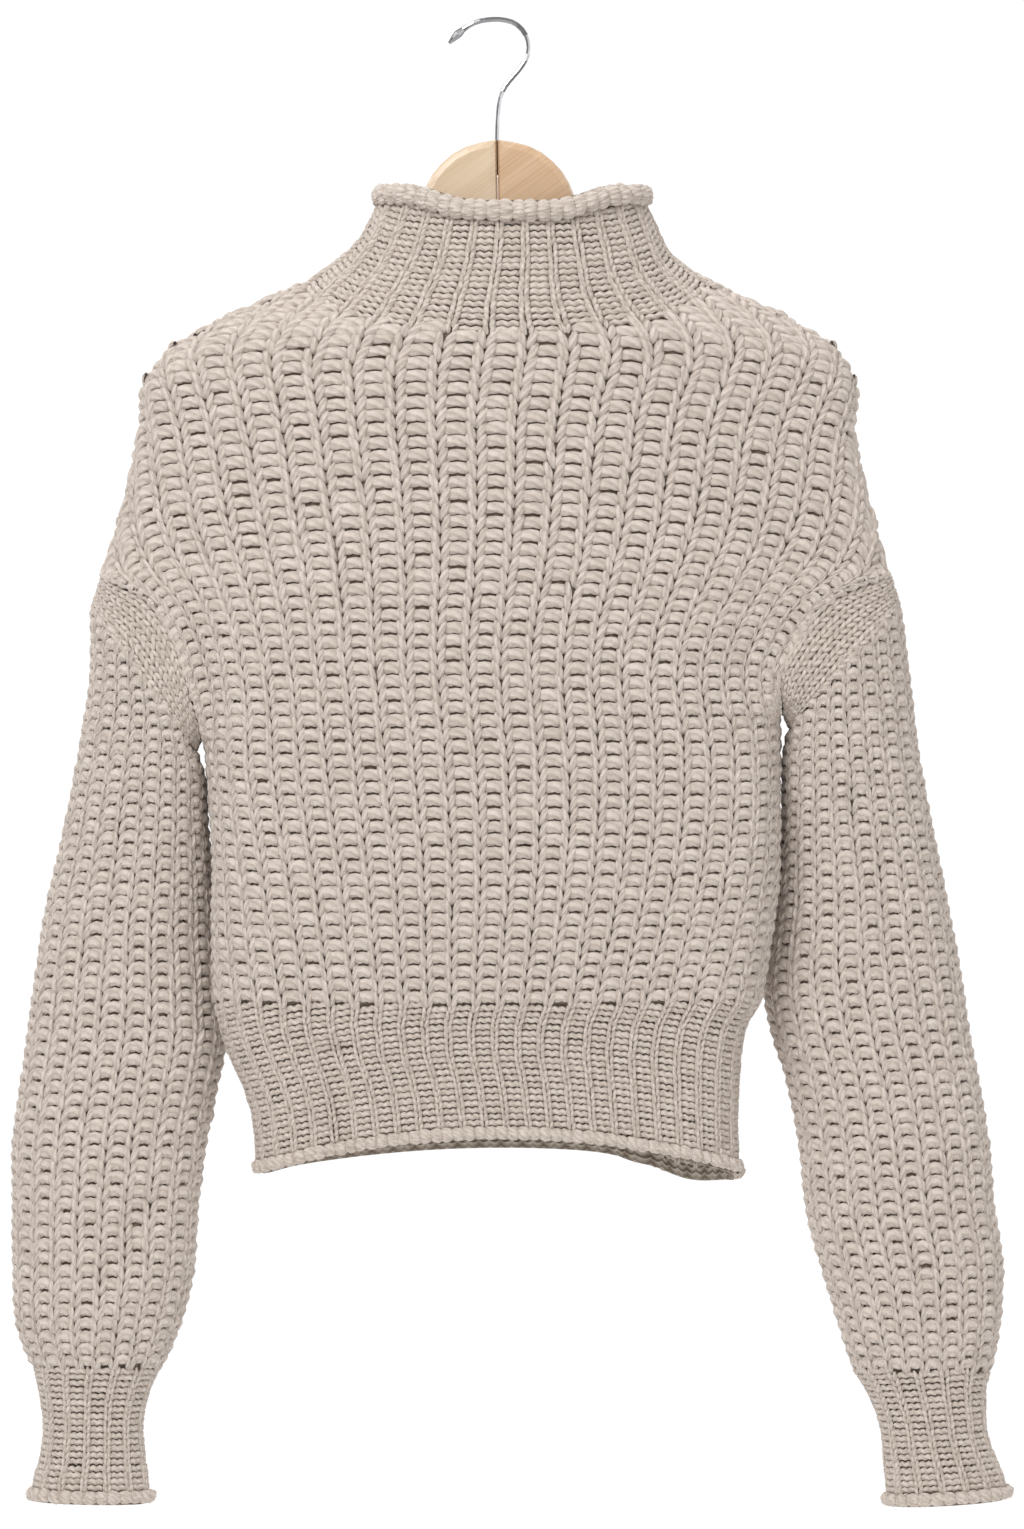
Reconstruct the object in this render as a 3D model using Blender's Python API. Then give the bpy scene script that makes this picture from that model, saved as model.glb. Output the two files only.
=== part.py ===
"""Chunky ribbed sweater with a rolled mock neck, hanging on a flat wooden hanger.

Metres, +Z up, front towards -Y and the wearer's left towards +X. The origin is the
underside of the top of the hook, where a rail carries it. Tables are in millimetres.
"""
import math

import bmesh
import bpy
import numpy as np

MM = 0.001

# Knit and seams
SEAM_GAP = 0.3 * MM
ARMHOLE_GAP = 0.45 * MM
WALL = 7.5 * MM
RIB_RELIEF = 3.0 * MM
BAND_RELIEF = 1.4 * MM
FRONT, BACK = -1.0, 1.0

# Ribs: across one body panel, at the neck seam of one panel, and around the tubes
BODY_WALES = 25
NECK_WALES = 13
SLEEVE_RIBS = 20
CUFF_RIBS = 13
BAND_WALES = 4

# Rows of the walls
ROWS_BELOW_ARM = 4
ROWS_ABOVE_ARM = 9
BAND_SIDES = 4 * ROWS_ABOVE_ARM
SLEEVE_ROWS = 10
COLLAR_ROWS = 4
HEM_ROWS = 4
CUFF_ROWS = 5

# Rolled edges: the bead's radius, and how far its middle stands outside the wall
COLLAR_ROLL = (7.5 * MM, 0.0 * MM)
HEM_ROLL = (4.8 * MM, -1.8 * MM)
CUFF_ROLL = (4.8 * MM, -1.3 * MM)

# A section is a closed band around the garment: its two ends in the front view, the
# plane of its ends, how far its middle sags below the line between them, and its depth.
# "round" is the share of the depth that the rounded side takes, over "reach" of the half
# width; "lift" shapes how the height runs along it. "fan" and "spread" open the ribs.
SECTION_COLUMNS = (
    "left_x", "left_z", "right_x", "right_z", "seam_y", "front_sag", "back_sag",
    "front", "back", "round", "reach", "lift", "fan", "spread",
)
BODY_FAN = BODY_WALES / NECK_WALES
BODY_ROWS = (
    (-181.8, -627.8, 170.2, -626.6, 0, -1.9, -1.9, 44, 44, 0.67, 0.18, 1.0, 1.00, -0.02),
    (-183.7, -581.1, 177.3, -581.1, 0, 0.0, 0.0, 51, 50, 0.67, 0.18, 1.0, 1.00, 0.04),
    (-183.0, -539.5, 182.4, -539.5, 0, 0.0, 0.0, 55, 53, 0.67, 0.18, 1.0, 1.00, 0.10),
    (-185.6, -496.0, 182.4, -491.5, 0, 0.0, 0.0, 57, 54, 0.67, 0.18, 1.0, 1.00, 0.16),
    (-188.2, -460.8, 181.8, -443.5, 0, 0.0, 0.0, 57, 54, 0.67, 0.17, 1.0, 1.00, 0.20),
    (-196.5, -427.5, 180.5, -423.0, 0, 0.0, 0.0, 57, 54, 0.30, 0.10, 1.0, 1.00, 0.27),
    (-206.1, -398.7, 192.0, -396.8, 0, 2.3, 3.0, 57, 54, 0.00, 0.08, 1.0, 1.00, 0.25),
    (-224.0, -371.8, 218.2, -368.6, 0, 5.4, 7.0, 57, 54, 0.20, 0.08, 1.0, 1.00, 0.17),
    (-253.4, -352.0, 252.2, -352.0, 0, 17.3, 19.0, 57, 54, 0.27, 0.08, 1.0, 1.00, 0.07),
    (-245.1, -325.1, 244.5, -325.1, 0, 16.0, 20.0, 57, 54, 0.27, 0.08, 1.0, 1.07, 0.07),
    (-236.8, -293.1, 236.2, -293.1, 0, 11.5, 18.0, 57, 54, 0.27, 0.08, 1.0, 1.13, 0.09),
    (-231.0, -261.1, 230.4, -262.4, 0, 3.9, 15.0, 57, 54, 0.27, 0.08, 1.0, 1.19, 0.10),
    (-228.5, -236.8, 231.7, -236.8, 0, -2.6, 13.0, 57, 54, 0.27, 0.08, 0.9, 1.26, 0.08),
    (-213.1, -211.2, 220.2, -210.6, 0, -14.4, 6.0, 57, 54, 0.29, 0.10, 0.8, 1.42, 0.04),
    (-180.5, -191.4, 192.0, -191.4, 0, -23.6, 1.0, 57, 55, 0.38, 0.22, 0.7, 1.60, 0.03),
    (-150.4, -177.3, 162.6, -177.3, 0, -30.1, 2.0, 57, 56, 0.60, 0.50, 0.6, 1.77, 0.02),
    (-124.2, -167.0, 138.9, -167.0, 0, -34.6, 7.0, 57, 57, 1.00, 1.00, 0.5, BODY_FAN, 0.0),
)
UNDERARM_ROW, TIP_ROW = 4, 8
ARMHOLE_DEPTH = 35.0
ARMHOLE_POWER = 2.4
CROWN_POWER = 1.8

HEM_ROWS_TABLE = (
    (-181.8, -627.8, 170.2, -626.6, 0, -1.9, -1.9, 44, 44, 0.67, 0.18, 1.0, 1.0, -0.02),
    (-177.9, -645.1, 160.0, -645.1, 0, 1.3, 0.0, 40, 40, 0.70, 0.20, 1.0, 1.0, 0.0),
    (-171.5, -664.3, 156.8, -664.3, 0, 3.2, 1.0, 37, 37, 0.75, 0.22, 1.0, 1.0, 0.0),
    (-162.6, -683.5, 155.5, -683.5, 0, 6.4, 3.0, 35, 35, 0.80, 0.23, 1.0, 1.0, 0.0),
    (-157.4, -702.7, 154.9, -702.7, 0, 9.6, 6.0, 34, 34, 0.85, 0.24, 1.0, 1.0, 0.0),
    (-154.2, -737.3, 156.2, -736.0, 0, 22.4, 14.6, 33, 33, 0.90, 0.25, 1.0, 1.0, 0.0),
)
COLLAR_ROWS_TABLE = (
    (-124.2, -167.0, 138.9, -167.0, 0, -34.6, 7.0, 57, 57, 1.0, 1.0, 0.5, 1.0, 0.0),
    (-112.0, -158.1, 124.8, -158.1, 0, -31.3, 4.5, 54, 54, 1.0, 1.0, 0.5, 1.0, 0.0),
    (-96.0, -146.6, 110.7, -146.6, 0, -24.9, 2.6, 50, 50, 1.0, 1.0, 0.5, 1.0, 0.0),
    (-85.8, -135.0, 104.3, -135.0, 0, -18.6, 0.6, 46, 46, 1.0, 1.0, 0.5, 1.0, 0.0),
    (-80.0, -124.2, 99.2, -124.2, 0, -15.0, -1.0, 43, 43, 1.0, 1.0, 0.5, 1.0, 0.0),
    (-69.8, -108.8, 89.6, -108.8, 0, -7.5, -3.0, 41, 41, 1.0, 1.0, 0.5, 1.0, 0.0),
)

# Sleeves and cuffs are plain ovals
OVAL_COLUMNS = ("left_x", "left_z", "right_x", "right_z", "seam_y", "depth")
RIGHT_SLEEVE_ROWS = (
    (-260.5, -374.4, -196.5, -470.4, 0, 35),
    (-261.1, -411.5, -194.6, -491.5, 6, 35),
    (-266.9, -453.1, -190.7, -513.9, 13, 35),
    (-274.6, -494.7, -186.9, -537.6, 20, 35),
    (-283.5, -535.0, -183.0, -563.2, 26, 36),
    (-291.8, -569.6, -179.2, -587.5, 30, 37),
    (-297.6, -606.7, -175.4, -617.0, 32, 38),
    (-302.7, -645.1, -173.4, -649.0, 32, 39),
    (-307.8, -683.5, -179.8, -684.8, 30, 40),
    (-312.3, -721.9, -186.9, -721.9, 27, 40),
    (-312.3, -760.3, -191.4, -760.3, 24, 40),
    (-311.7, -798.7, -193.9, -798.7, 20, 39),
    (-310.4, -827.5, -200.3, -827.5, 16, 36),
    (-304.6, -849.9, -208.0, -849.9, 13, 31),
    (-297.6, -862.7, -213.8, -861.4, 12, 27),
)
RIGHT_CUFF_ROWS = (
    (-297.6, -862.7, -213.8, -861.4, 12, 27),
    (-294.4, -878.7, -221.4, -877.4, 12, 24),
    (-291.8, -901.1, -225.9, -901.1, 11, 22),
    (-294.4, -920.3, -224.0, -920.3, 11, 22),
    (-298.2, -934.4, -222.1, -935.7, 10, 24),
    (-299.5, -947.2, -220.8, -948.5, 10, 25),
)
LEFT_SLEEVE_ROWS = (
    (189.4, -456.3, 259.2, -372.5, 0, 35),
    (186.9, -481.9, 264.3, -411.5, 6, 35),
    (185.0, -507.5, 269.4, -453.1, 13, 35),
    (181.8, -533.1, 276.5, -494.7, 20, 35),
    (178.6, -561.9, 284.8, -535.0, 26, 36),
    (174.7, -587.5, 291.8, -569.6, 30, 37),
    (170.9, -616.3, 298.9, -606.7, 32, 38),
    (175.4, -645.1, 304.6, -645.1, 32, 39),
    (186.9, -683.5, 311.7, -683.5, 30, 40),
    (193.9, -721.9, 317.4, -721.9, 27, 40),
    (197.8, -760.3, 320.6, -760.3, 24, 40),
    (208.0, -798.7, 325.8, -798.7, 20, 39),
    (216.3, -827.5, 324.5, -827.5, 16, 36),
    (223.4, -849.9, 321.3, -849.9, 13, 31),
    (227.8, -864.0, 318.1, -864.0, 12, 27),
)
LEFT_CUFF_ROWS = (
    (227.8, -864.0, 318.1, -864.0, 12, 27),
    (236.2, -877.4, 314.9, -877.4, 12, 24),
    (245.1, -901.1, 315.5, -901.1, 11, 22),
    (247.0, -920.3, 321.3, -919.0, 11, 22),
    (248.3, -935.7, 327.0, -933.1, 10, 24),
    (249.6, -951.0, 329.0, -945.9, 10, 25),
)

# Soft troughs: side, the two ends in the front view, half width and depth
FOLD_COLUMNS = ("side", "x0", "z0", "x1", "z1", "width", "depth")
BODY_FOLDS = (
    (FRONT, -186, -452, -190, -345, 9, 8),
    (FRONT, 181, -440, 183, -335, 10, 7),
    (FRONT, -140, -420, -160, -300, 14, 3),
    (FRONT, 150, -500, 158, -380, 13, 3),
    (BACK, -184, -455, -193, -350, 10, 7),
    (BACK, 178, -440, 187, -340, 9, 8),
    (BACK, -60, -240, -95, -420, 18, 4),
    (BACK, 70, -260, 96, -450, 20, 4),
)
HEM_FOLDS = (
    (FRONT, -104, -660, -102, -740, 8, 5),
    (BACK, 90, -650, 96, -740, 9, 5),
)
SLEEVE_FOLDS = (
    (FRONT, -231, -500, -262, -600, 10, 4),
    (FRONT, -226, -760, -262, -826, 10, 4),
    (BACK, -222, -520, -258, -610, 11, 5),
    (BACK, -240, -740, -276, -820, 10, 4),
    (FRONT, 228, -500, 257, -590, 10, 4),
    (FRONT, 252, -765, 290, -828, 10, 4),
    (BACK, 224, -515, 250, -610, 11, 5),
    (BACK, 246, -730, 284, -800, 10, 4),
)

# Local lifts of an edge: side (0 for both), place and width along the section, height
LIFT_COLUMNS = ("side", "place", "width", "height")
COLLAR_LIFTS = (
    (FRONT, -0.8, 0.28, 8.0), (FRONT, 0.8, 0.28, 8.0),
    (BACK, -0.8, 0.35, 6.0), (BACK, 0.8, 0.35, 6.0),
)
HEM_LIFTS = ((BACK, 0.80, 0.22, -11.0),)

# Hanger, one half in the front view from the bore's mouth: x out, z down from there
HANGER_THICK = 12.0 * MM
HANGER_EDGE = 4.5 * MM
HANGER_TILT = math.radians(-0.95)
HANGER_TOP_Z = -75.5 * MM
BORE_RADIUS = 2.0 * MM
BORE_DEPTH = 24.0 * MM
HANGER_TOP_EDGE = (
    (20.0, -4.1), (36.0, -14.9), (46.0, -29.0), (50.5, -43.5), (54.0, -59.0),
    (62.0, -73.0), (78.0, -85.0), (103.0, -97.0), (124.0, -103.0), (150.0, -110.9),
    (180.0, -125.4), (197.0, -136.3), (206.8, -145.8),
)
HANGER_END = ((212.5, -156.0), (214.0, -165.0), (210.5, -174.0))
HANGER_LOWER_EDGE = (
    (202.0, -176.0), (180.0, -160.5), (150.0, -144.0), (120.0, -129.0), (90.0, -116.0),
    (60.0, -106.0), (30.0, -100.0),
)
HANGER_FOOT_Z = -97.0

# Hook, its wire's middle line in the front view
WIRE_RADIUS = 1.6 * MM
TIP_BALL_RADIUS = 2.7 * MM
HOOK_LINE = (
    (-30.7, -13.6), (-25.6, -8.3), (-19.8, -3.4), (-12.8, 0.1), (-5.4, 1.5), (2.6, 1.6),
    (11.4, -0.8), (17.8, -7.2), (20.2, -16.0), (18.6, -23.4), (14.2, -30.4),
    (8.0, -37.6), (3.6, -44.0), (1.3, -52.5), (0.3, -64.0), (0.0, -75.5), (0.27, -98.0),
)
HOOK_POINTS = 38


def clear_scene():
    """Remove every object that the scene starts with."""
    for thing in list(bpy.data.objects):
        bpy.data.objects.remove(thing, do_unlink=True)


def make_material(name, colour, roughness, metallic):
    """Return a plain material of the given finish."""
    material = bpy.data.materials.new(name)
    material.use_nodes = True
    shader = material.node_tree.nodes["Principled BSDF"]
    shader.inputs["Base Color"].default_value = (*colour, 1.0)
    shader.inputs["Roughness"].default_value = roughness
    shader.inputs["Metallic"].default_value = metallic
    return material


def eased(knots, values, x):
    """Return the table's columns at x, on a curve that never overshoots its rows."""
    span = np.diff(knots)
    slope = np.diff(values, axis=0) / span[:, None]
    weight_a = (2 * span[1:] + span[:-1])[:, None]
    weight_b = (span[1:] + 2 * span[:-1])[:, None]
    before, after = slope[:-1], slope[1:]
    level = before * after <= 0
    safe_before = np.where(level, 1.0, before)
    safe_after = np.where(level, 1.0, after)
    inner = (weight_a + weight_b) / (weight_a / safe_before + weight_b / safe_after)
    tangent = np.vstack((slope[:1], np.where(level, 0.0, inner), slope[-1:]))
    row = np.clip(np.searchsorted(knots, x, side="right") - 1, 0, len(span) - 1)
    part = ((x - knots[row]) / span[row])[:, None]
    width = span[row][:, None]
    return (
        values[row] * (1 + 2 * part) * (1 - part) ** 2
        + tangent[row] * width * part * (1 - part) ** 2
        + values[row + 1] * part**2 * (3 - 2 * part)
        + tangent[row + 1] * width * part**2 * (part - 1)
    )


def along(points, count):
    """Return count + 1 points spaced evenly by length along a line of points."""
    length = np.concatenate(([0.0], np.cumsum(np.linalg.norm(np.diff(points, axis=0), axis=1))))
    wanted = np.linspace(0.0, length[-1], count + 1)
    return np.stack([np.interp(wanted, length, points[:, axis]) for axis in range(3)], axis=1)


def unit(vectors):
    """Return vectors at length one."""
    return vectors / np.linalg.norm(vectors, axis=-1, keepdims=True)


class Sections:
    """A garment surface that runs through a table of sections."""

    SAMPLES = 120

    def __init__(self, rows, folds=(), lifts=(), armhole=False):
        self.rows = np.array(rows, dtype=float)
        if self.rows.shape[1] == len(OVAL_COLUMNS):
            self.rows = self.from_ovals(self.rows)
        table = dict(zip(SECTION_COLUMNS, self.rows.T))
        middle = np.stack((
            (table["left_x"] + table["right_x"]) / 2,
            (table["left_z"] + table["right_z"]) / 2 + table["front_sag"],
        ), axis=1)
        steps = np.linalg.norm(np.diff(middle, axis=0), axis=1)
        self.place = np.concatenate(([0.0], np.cumsum(steps))) / steps.sum()
        self.folds = folds
        self.lifts = lifts
        self.armhole = armhole

    @staticmethod
    def from_ovals(ovals):
        """Return full section rows for plain ovals."""
        column = dict(zip(OVAL_COLUMNS, ovals.T))
        none, whole = np.zeros(len(ovals)), np.ones(len(ovals))
        return np.stack((
            column["left_x"], column["left_z"], column["right_x"], column["right_z"],
            column["seam_y"], none, none, column["depth"], column["depth"],
            whole, whole, whole / 2, whole, none,
        ), axis=1)

    def at(self, t):
        """Return the named columns at places t along the surface."""
        values = eased(self.place, self.rows, np.asarray(t, dtype=float))
        return dict(zip(SECTION_COLUMNS, values.T))

    def opening(self, t):
        """Return how deep the armhole stands open at places t."""
        if not self.armhole:
            return np.zeros(len(t))
        low, high = self.place[UNDERARM_ROW], self.place[TIP_ROW]
        part = np.clip((t - low) / (high - low), 0.0, 1.0)
        shape = 1.0 - np.abs(2.0 * part - 1.0) ** ARMHOLE_POWER
        return ARMHOLE_DEPTH * np.maximum(shape, 0.0) ** (1.0 / ARMHOLE_POWER)

    def curves(self, t, side):
        """Return one fine line of points across the surface for each place in t."""
        row = {name: value[:, None] for name, value in self.at(t).items()}
        u = -np.cos(np.linspace(0.0, math.pi, self.SAMPLES))[None, :]
        opening = self.opening(np.asarray(t))[:, None]
        full = (row["front"] if side == FRONT else row["back"]) - opening
        sag = row["front_sag"] if side == FRONT else row["back_sag"]
        from_edge = np.minimum((1.0 - np.abs(u)) / row["reach"], 1.0)
        rounded = full * row["round"] * np.sqrt(np.maximum(1.0 - (1.0 - from_edge) ** 2, 0.0))
        crown = full * (1.0 - row["round"]) * (1.0 - np.abs(u) ** CROWN_POWER)
        depth = opening + rounded + crown
        half = (row["right_x"] - row["left_x"]) / 2
        x = (row["left_x"] + row["right_x"]) / 2 + u * half
        z = (row["left_z"] + row["right_z"]) / 2 + u * (row["right_z"] - row["left_z"]) / 2
        z = z + sag * np.maximum(1.0 - u**2, 0.0) ** row["lift"]
        for values in self.lifts:
            lift = dict(zip(LIFT_COLUMNS, values))
            if lift["side"] in (0, side):
                bump = np.exp(-(((u - lift["place"]) / lift["width"]) ** 2))
                z = z + lift["height"] * bump * np.asarray(t)[:, None] ** 2
        inside = np.clip(half * (1.0 - np.abs(u)) / 14.0, 0.0, 1.0)
        for values in self.folds:
            fold = dict(zip(FOLD_COLUMNS, values))
            if fold["side"] == side:
                depth = depth - fold["depth"] * inside * self.trough(fold, x, z)
        y = row["seam_y"] + side * depth
        return np.stack((x, y, z), axis=-1) * MM

    @staticmethod
    def trough(fold, x, z):
        """Return how strongly a fold shapes each point, from 0 to 1."""
        run_x, run_z = fold["x1"] - fold["x0"], fold["z1"] - fold["z0"]
        part = ((x - fold["x0"]) * run_x + (z - fold["z0"]) * run_z) / (run_x**2 + run_z**2)
        part = np.clip(part, 0.0, 1.0)
        away = np.hypot(x - fold["x0"] - part * run_x, z - fold["z0"] - part * run_z)
        return np.exp(-((away / fold["width"]) ** 2))

    def points(self, s, t, side):
        """Return surface points: s from -1 to 1 across by length, t from 0 to 1 along."""
        lines = self.curves(t, side)
        out = np.empty((len(s), 3))
        for index, line in enumerate(lines):
            steps = np.linalg.norm(np.diff(line, axis=0), axis=1)
            length = np.concatenate(([0.0], np.cumsum(steps)))
            wanted = (s[index] + 1.0) / 2.0 * length[-1]
            out[index] = [np.interp(wanted, length, line[:, axis]) for axis in range(3)]
        return out

    def fanned(self, s, t):
        """Return where the rib that starts at s runs at places t."""
        row = self.at(t)
        opened = np.clip(row["fan"] * s, -1.0, 1.0)
        return opened * (1.0 + row["spread"] * (1.0 - opened**2))

    def rib(self, s, t, side):
        """Return the points of the rib that starts at s, at places t."""
        return self.points(self.fanned(np.full(len(t), s), t), t, side)

    def end_of_rib(self, s):
        """Return the place where the rib that starts at s meets the top edge."""
        fine = np.linspace(self.place[TIP_ROW], 1.0, 400)
        fan = self.at(fine)["fan"]
        return float(np.interp(1.0 / max(abs(s), 1.0 / BODY_FAN), fan, fine))

    def tube(self, sides, rows):
        """Return a closed grid of points, sides around by rows + 1 along."""
        half = sides // 2
        across = np.linspace(-1.0, 1.0, half + 1)
        places = np.linspace(0.0, 1.0, rows + 1)
        grid = np.empty((sides, rows + 1, 3))
        for j, t in enumerate(places):
            level = np.full(half + 1, t)
            front = self.points(across, level, FRONT)
            back = self.points(across, level, BACK)
            grid[:, j] = np.vstack((front, back[-2:0:-1]))
        return grid


def grid_normals(grid, closed):
    """Return the outward normals of a grid of points."""
    if closed:
        across = np.roll(grid, -1, axis=0) - np.roll(grid, 1, axis=0)
    else:
        across = np.gradient(grid, axis=0)
    normals = unit(np.cross(across, np.gradient(grid, axis=1)))
    middle = grid.mean(axis=0, keepdims=True)
    if not closed:
        middle = middle * (1.0, 0.0, 1.0)
    if np.sum(normals * (grid - middle)) < 0:
        normals = -normals
    return normals


def ring_tangents(ring, closed):
    """Return the directions along a ring or line of points."""
    if closed:
        return unit(np.roll(ring, -1, axis=0) - np.roll(ring, 1, axis=0))
    return unit(np.gradient(ring, axis=0))


def in_plane_normals(ring, plane, closed):
    """Return normals of a ring that lie in its plane and point out of it."""
    normals = unit(np.cross(ring_tangents(ring, closed), plane))
    middle = ring.mean(axis=0) * ((1.0, 1.0, 1.0) if closed else (1.0, 0.0, 1.0))
    if np.sum(normals * (ring - middle)) < 0:
        normals = -normals
    return normals


def chord_plane(ring, half):
    """Return the normal of the plane that holds an oval's ends and the Y direction."""
    return unit(np.cross(ring[half] - ring[0], (0.0, 1.0, 0.0)))


def split_side(faces, start, middle, end, far_start, far_end):
    """Fill a four-sided place whose first side has a vertex at its middle."""
    faces.append((start, middle, far_start))
    faces.append((middle, far_end, far_start))
    faces.append((middle, end, far_end))


def strip(faces, outer, inner, middles=()):
    """Join two lines of vertices, the first as fine as the second or twice as fine.

    middles names the vertices at the middle of the first line's last few sides.
    """
    plain = len(inner) - 1 - len(middles)
    for k in range(len(inner) - 1):
        if len(outer) > len(inner):
            split_side(faces, *outer[2 * k:2 * k + 3], inner[k], inner[k + 1])
        elif k < plain:
            faces.append((outer[k], outer[k + 1], inner[k + 1], inner[k]))
        else:
            middle = middles[k - plain]
            split_side(faces, outer[k], middle, outer[k + 1], inner[k], inner[k + 1])


def sheet_faces(faces, index, closed):
    """Add the faces of a grid of vertices."""
    count = len(index)
    for i in range(count if closed else count - 1):
        first, second = index[i], index[(i + 1) % count]
        for j in range(len(first) - 1):
            faces.append((first[j], second[j], second[j + 1], first[j + 1]))


def split_edge(points, faces, index, column, beside, rows):
    """Put a vertex at the middle of the last rows' sides along one edge column."""
    edge, near = index[column], index[beside]
    middles = []
    for j in range(len(edge) - 1 - rows, len(edge) - 1):
        old = (edge[j], near[j], near[j + 1], edge[j + 1])
        turned = (near[j], edge[j], edge[j + 1], near[j + 1])
        faces.remove(old if old in faces else turned)
        middle = len(points)
        points.append(tuple((np.array(points[edge[j]]) + np.array(points[edge[j + 1]])) / 2))
        split_side(faces, edge[j], middle, edge[j + 1], near[j], near[j + 1])
        middles.append(middle)
    return middles


def build_wall(name, outer, inner, closed, material, collection, split_rows=0):
    """Build a closed wall from its outer and inner grids of points."""
    points = [tuple(p) for p in outer.reshape(-1, 3)] + [tuple(p) for p in inner.reshape(-1, 3)]
    outer_index = np.arange(outer.shape[0] * outer.shape[1]).reshape(outer.shape[:2]).tolist()
    start = outer.shape[0] * outer.shape[1]
    inner_count = inner.shape[0] * inner.shape[1]
    inner_index = (start + np.arange(inner_count).reshape(inner.shape[:2])).tolist()
    faces = []
    sheet_faces(faces, outer_index, closed)
    sheet_faces(faces, inner_index, closed)
    for row in (0, -1):
        outside = [column[row] for column in outer_index]
        inside = [column[row] for column in inner_index]
        if closed:
            outside = outside + outside[:1]
            inside = inside + inside[:1]
        strip(faces, outside, inside)
    if not closed:
        for column, beside in ((0, 1), (-1, -2)):
            outside, inside = outer_index[column], inner_index[column]
            if len(outside) == len(inside):
                middles = split_edge(points, faces, outer_index, column, beside, split_rows)
                strip(faces, outside, inside, middles)
            else:
                faces.append(tuple(outside) + tuple(reversed(inside)))
    mesh = bpy.data.meshes.new(name)
    mesh.from_pydata(points, [], faces)
    shape = bmesh.new()
    shape.from_mesh(mesh)
    bmesh.ops.recalc_face_normals(shape, faces=shape.faces)
    bmesh.ops.triangulate(shape, faces=[face for face in shape.faces if len(face.verts) > 4])
    shape.to_mesh(mesh)
    shape.free()
    mesh.materials.append(material)
    mesh.shade_smooth()
    mesh.set_sharp_from_angle(angle=math.radians(28))
    wall = bpy.data.objects.new(name, mesh)
    collection.objects.link(wall)
    return wall


def ribbed(points, normals, relief):
    """Return the points with every second column sunk between two ribs."""
    sunk = points.copy()
    sunk[1::2] = sunk[1::2] - relief * normals[1::2]
    return sunk


def with_roll(points, normals, onward, roll):
    """Return the outer and inner rows of a ribbed wall that ends in a rolled edge."""
    radius, proud = roll
    end, normal = points[:, -1], normals[:, -1]
    middle = end - onward * radius + normal * proud
    bead = []
    for angle in (-60, -5, 50, 105):
        turn = math.radians(angle)
        bead.append(middle + radius * (math.cos(turn) * normal + math.sin(turn) * onward))
    wall = ribbed(points, normals, RIB_RELIEF)
    wall[:, -1] = (wall[:, -1] - onward * radius * 2.3)
    outer = np.concatenate((wall, np.stack(bead, axis=1)), axis=1)
    inner = points - WALL * normals
    inner[:, -1] = end - WALL * normal - onward * radius
    return outer, inner[::2]


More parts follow.
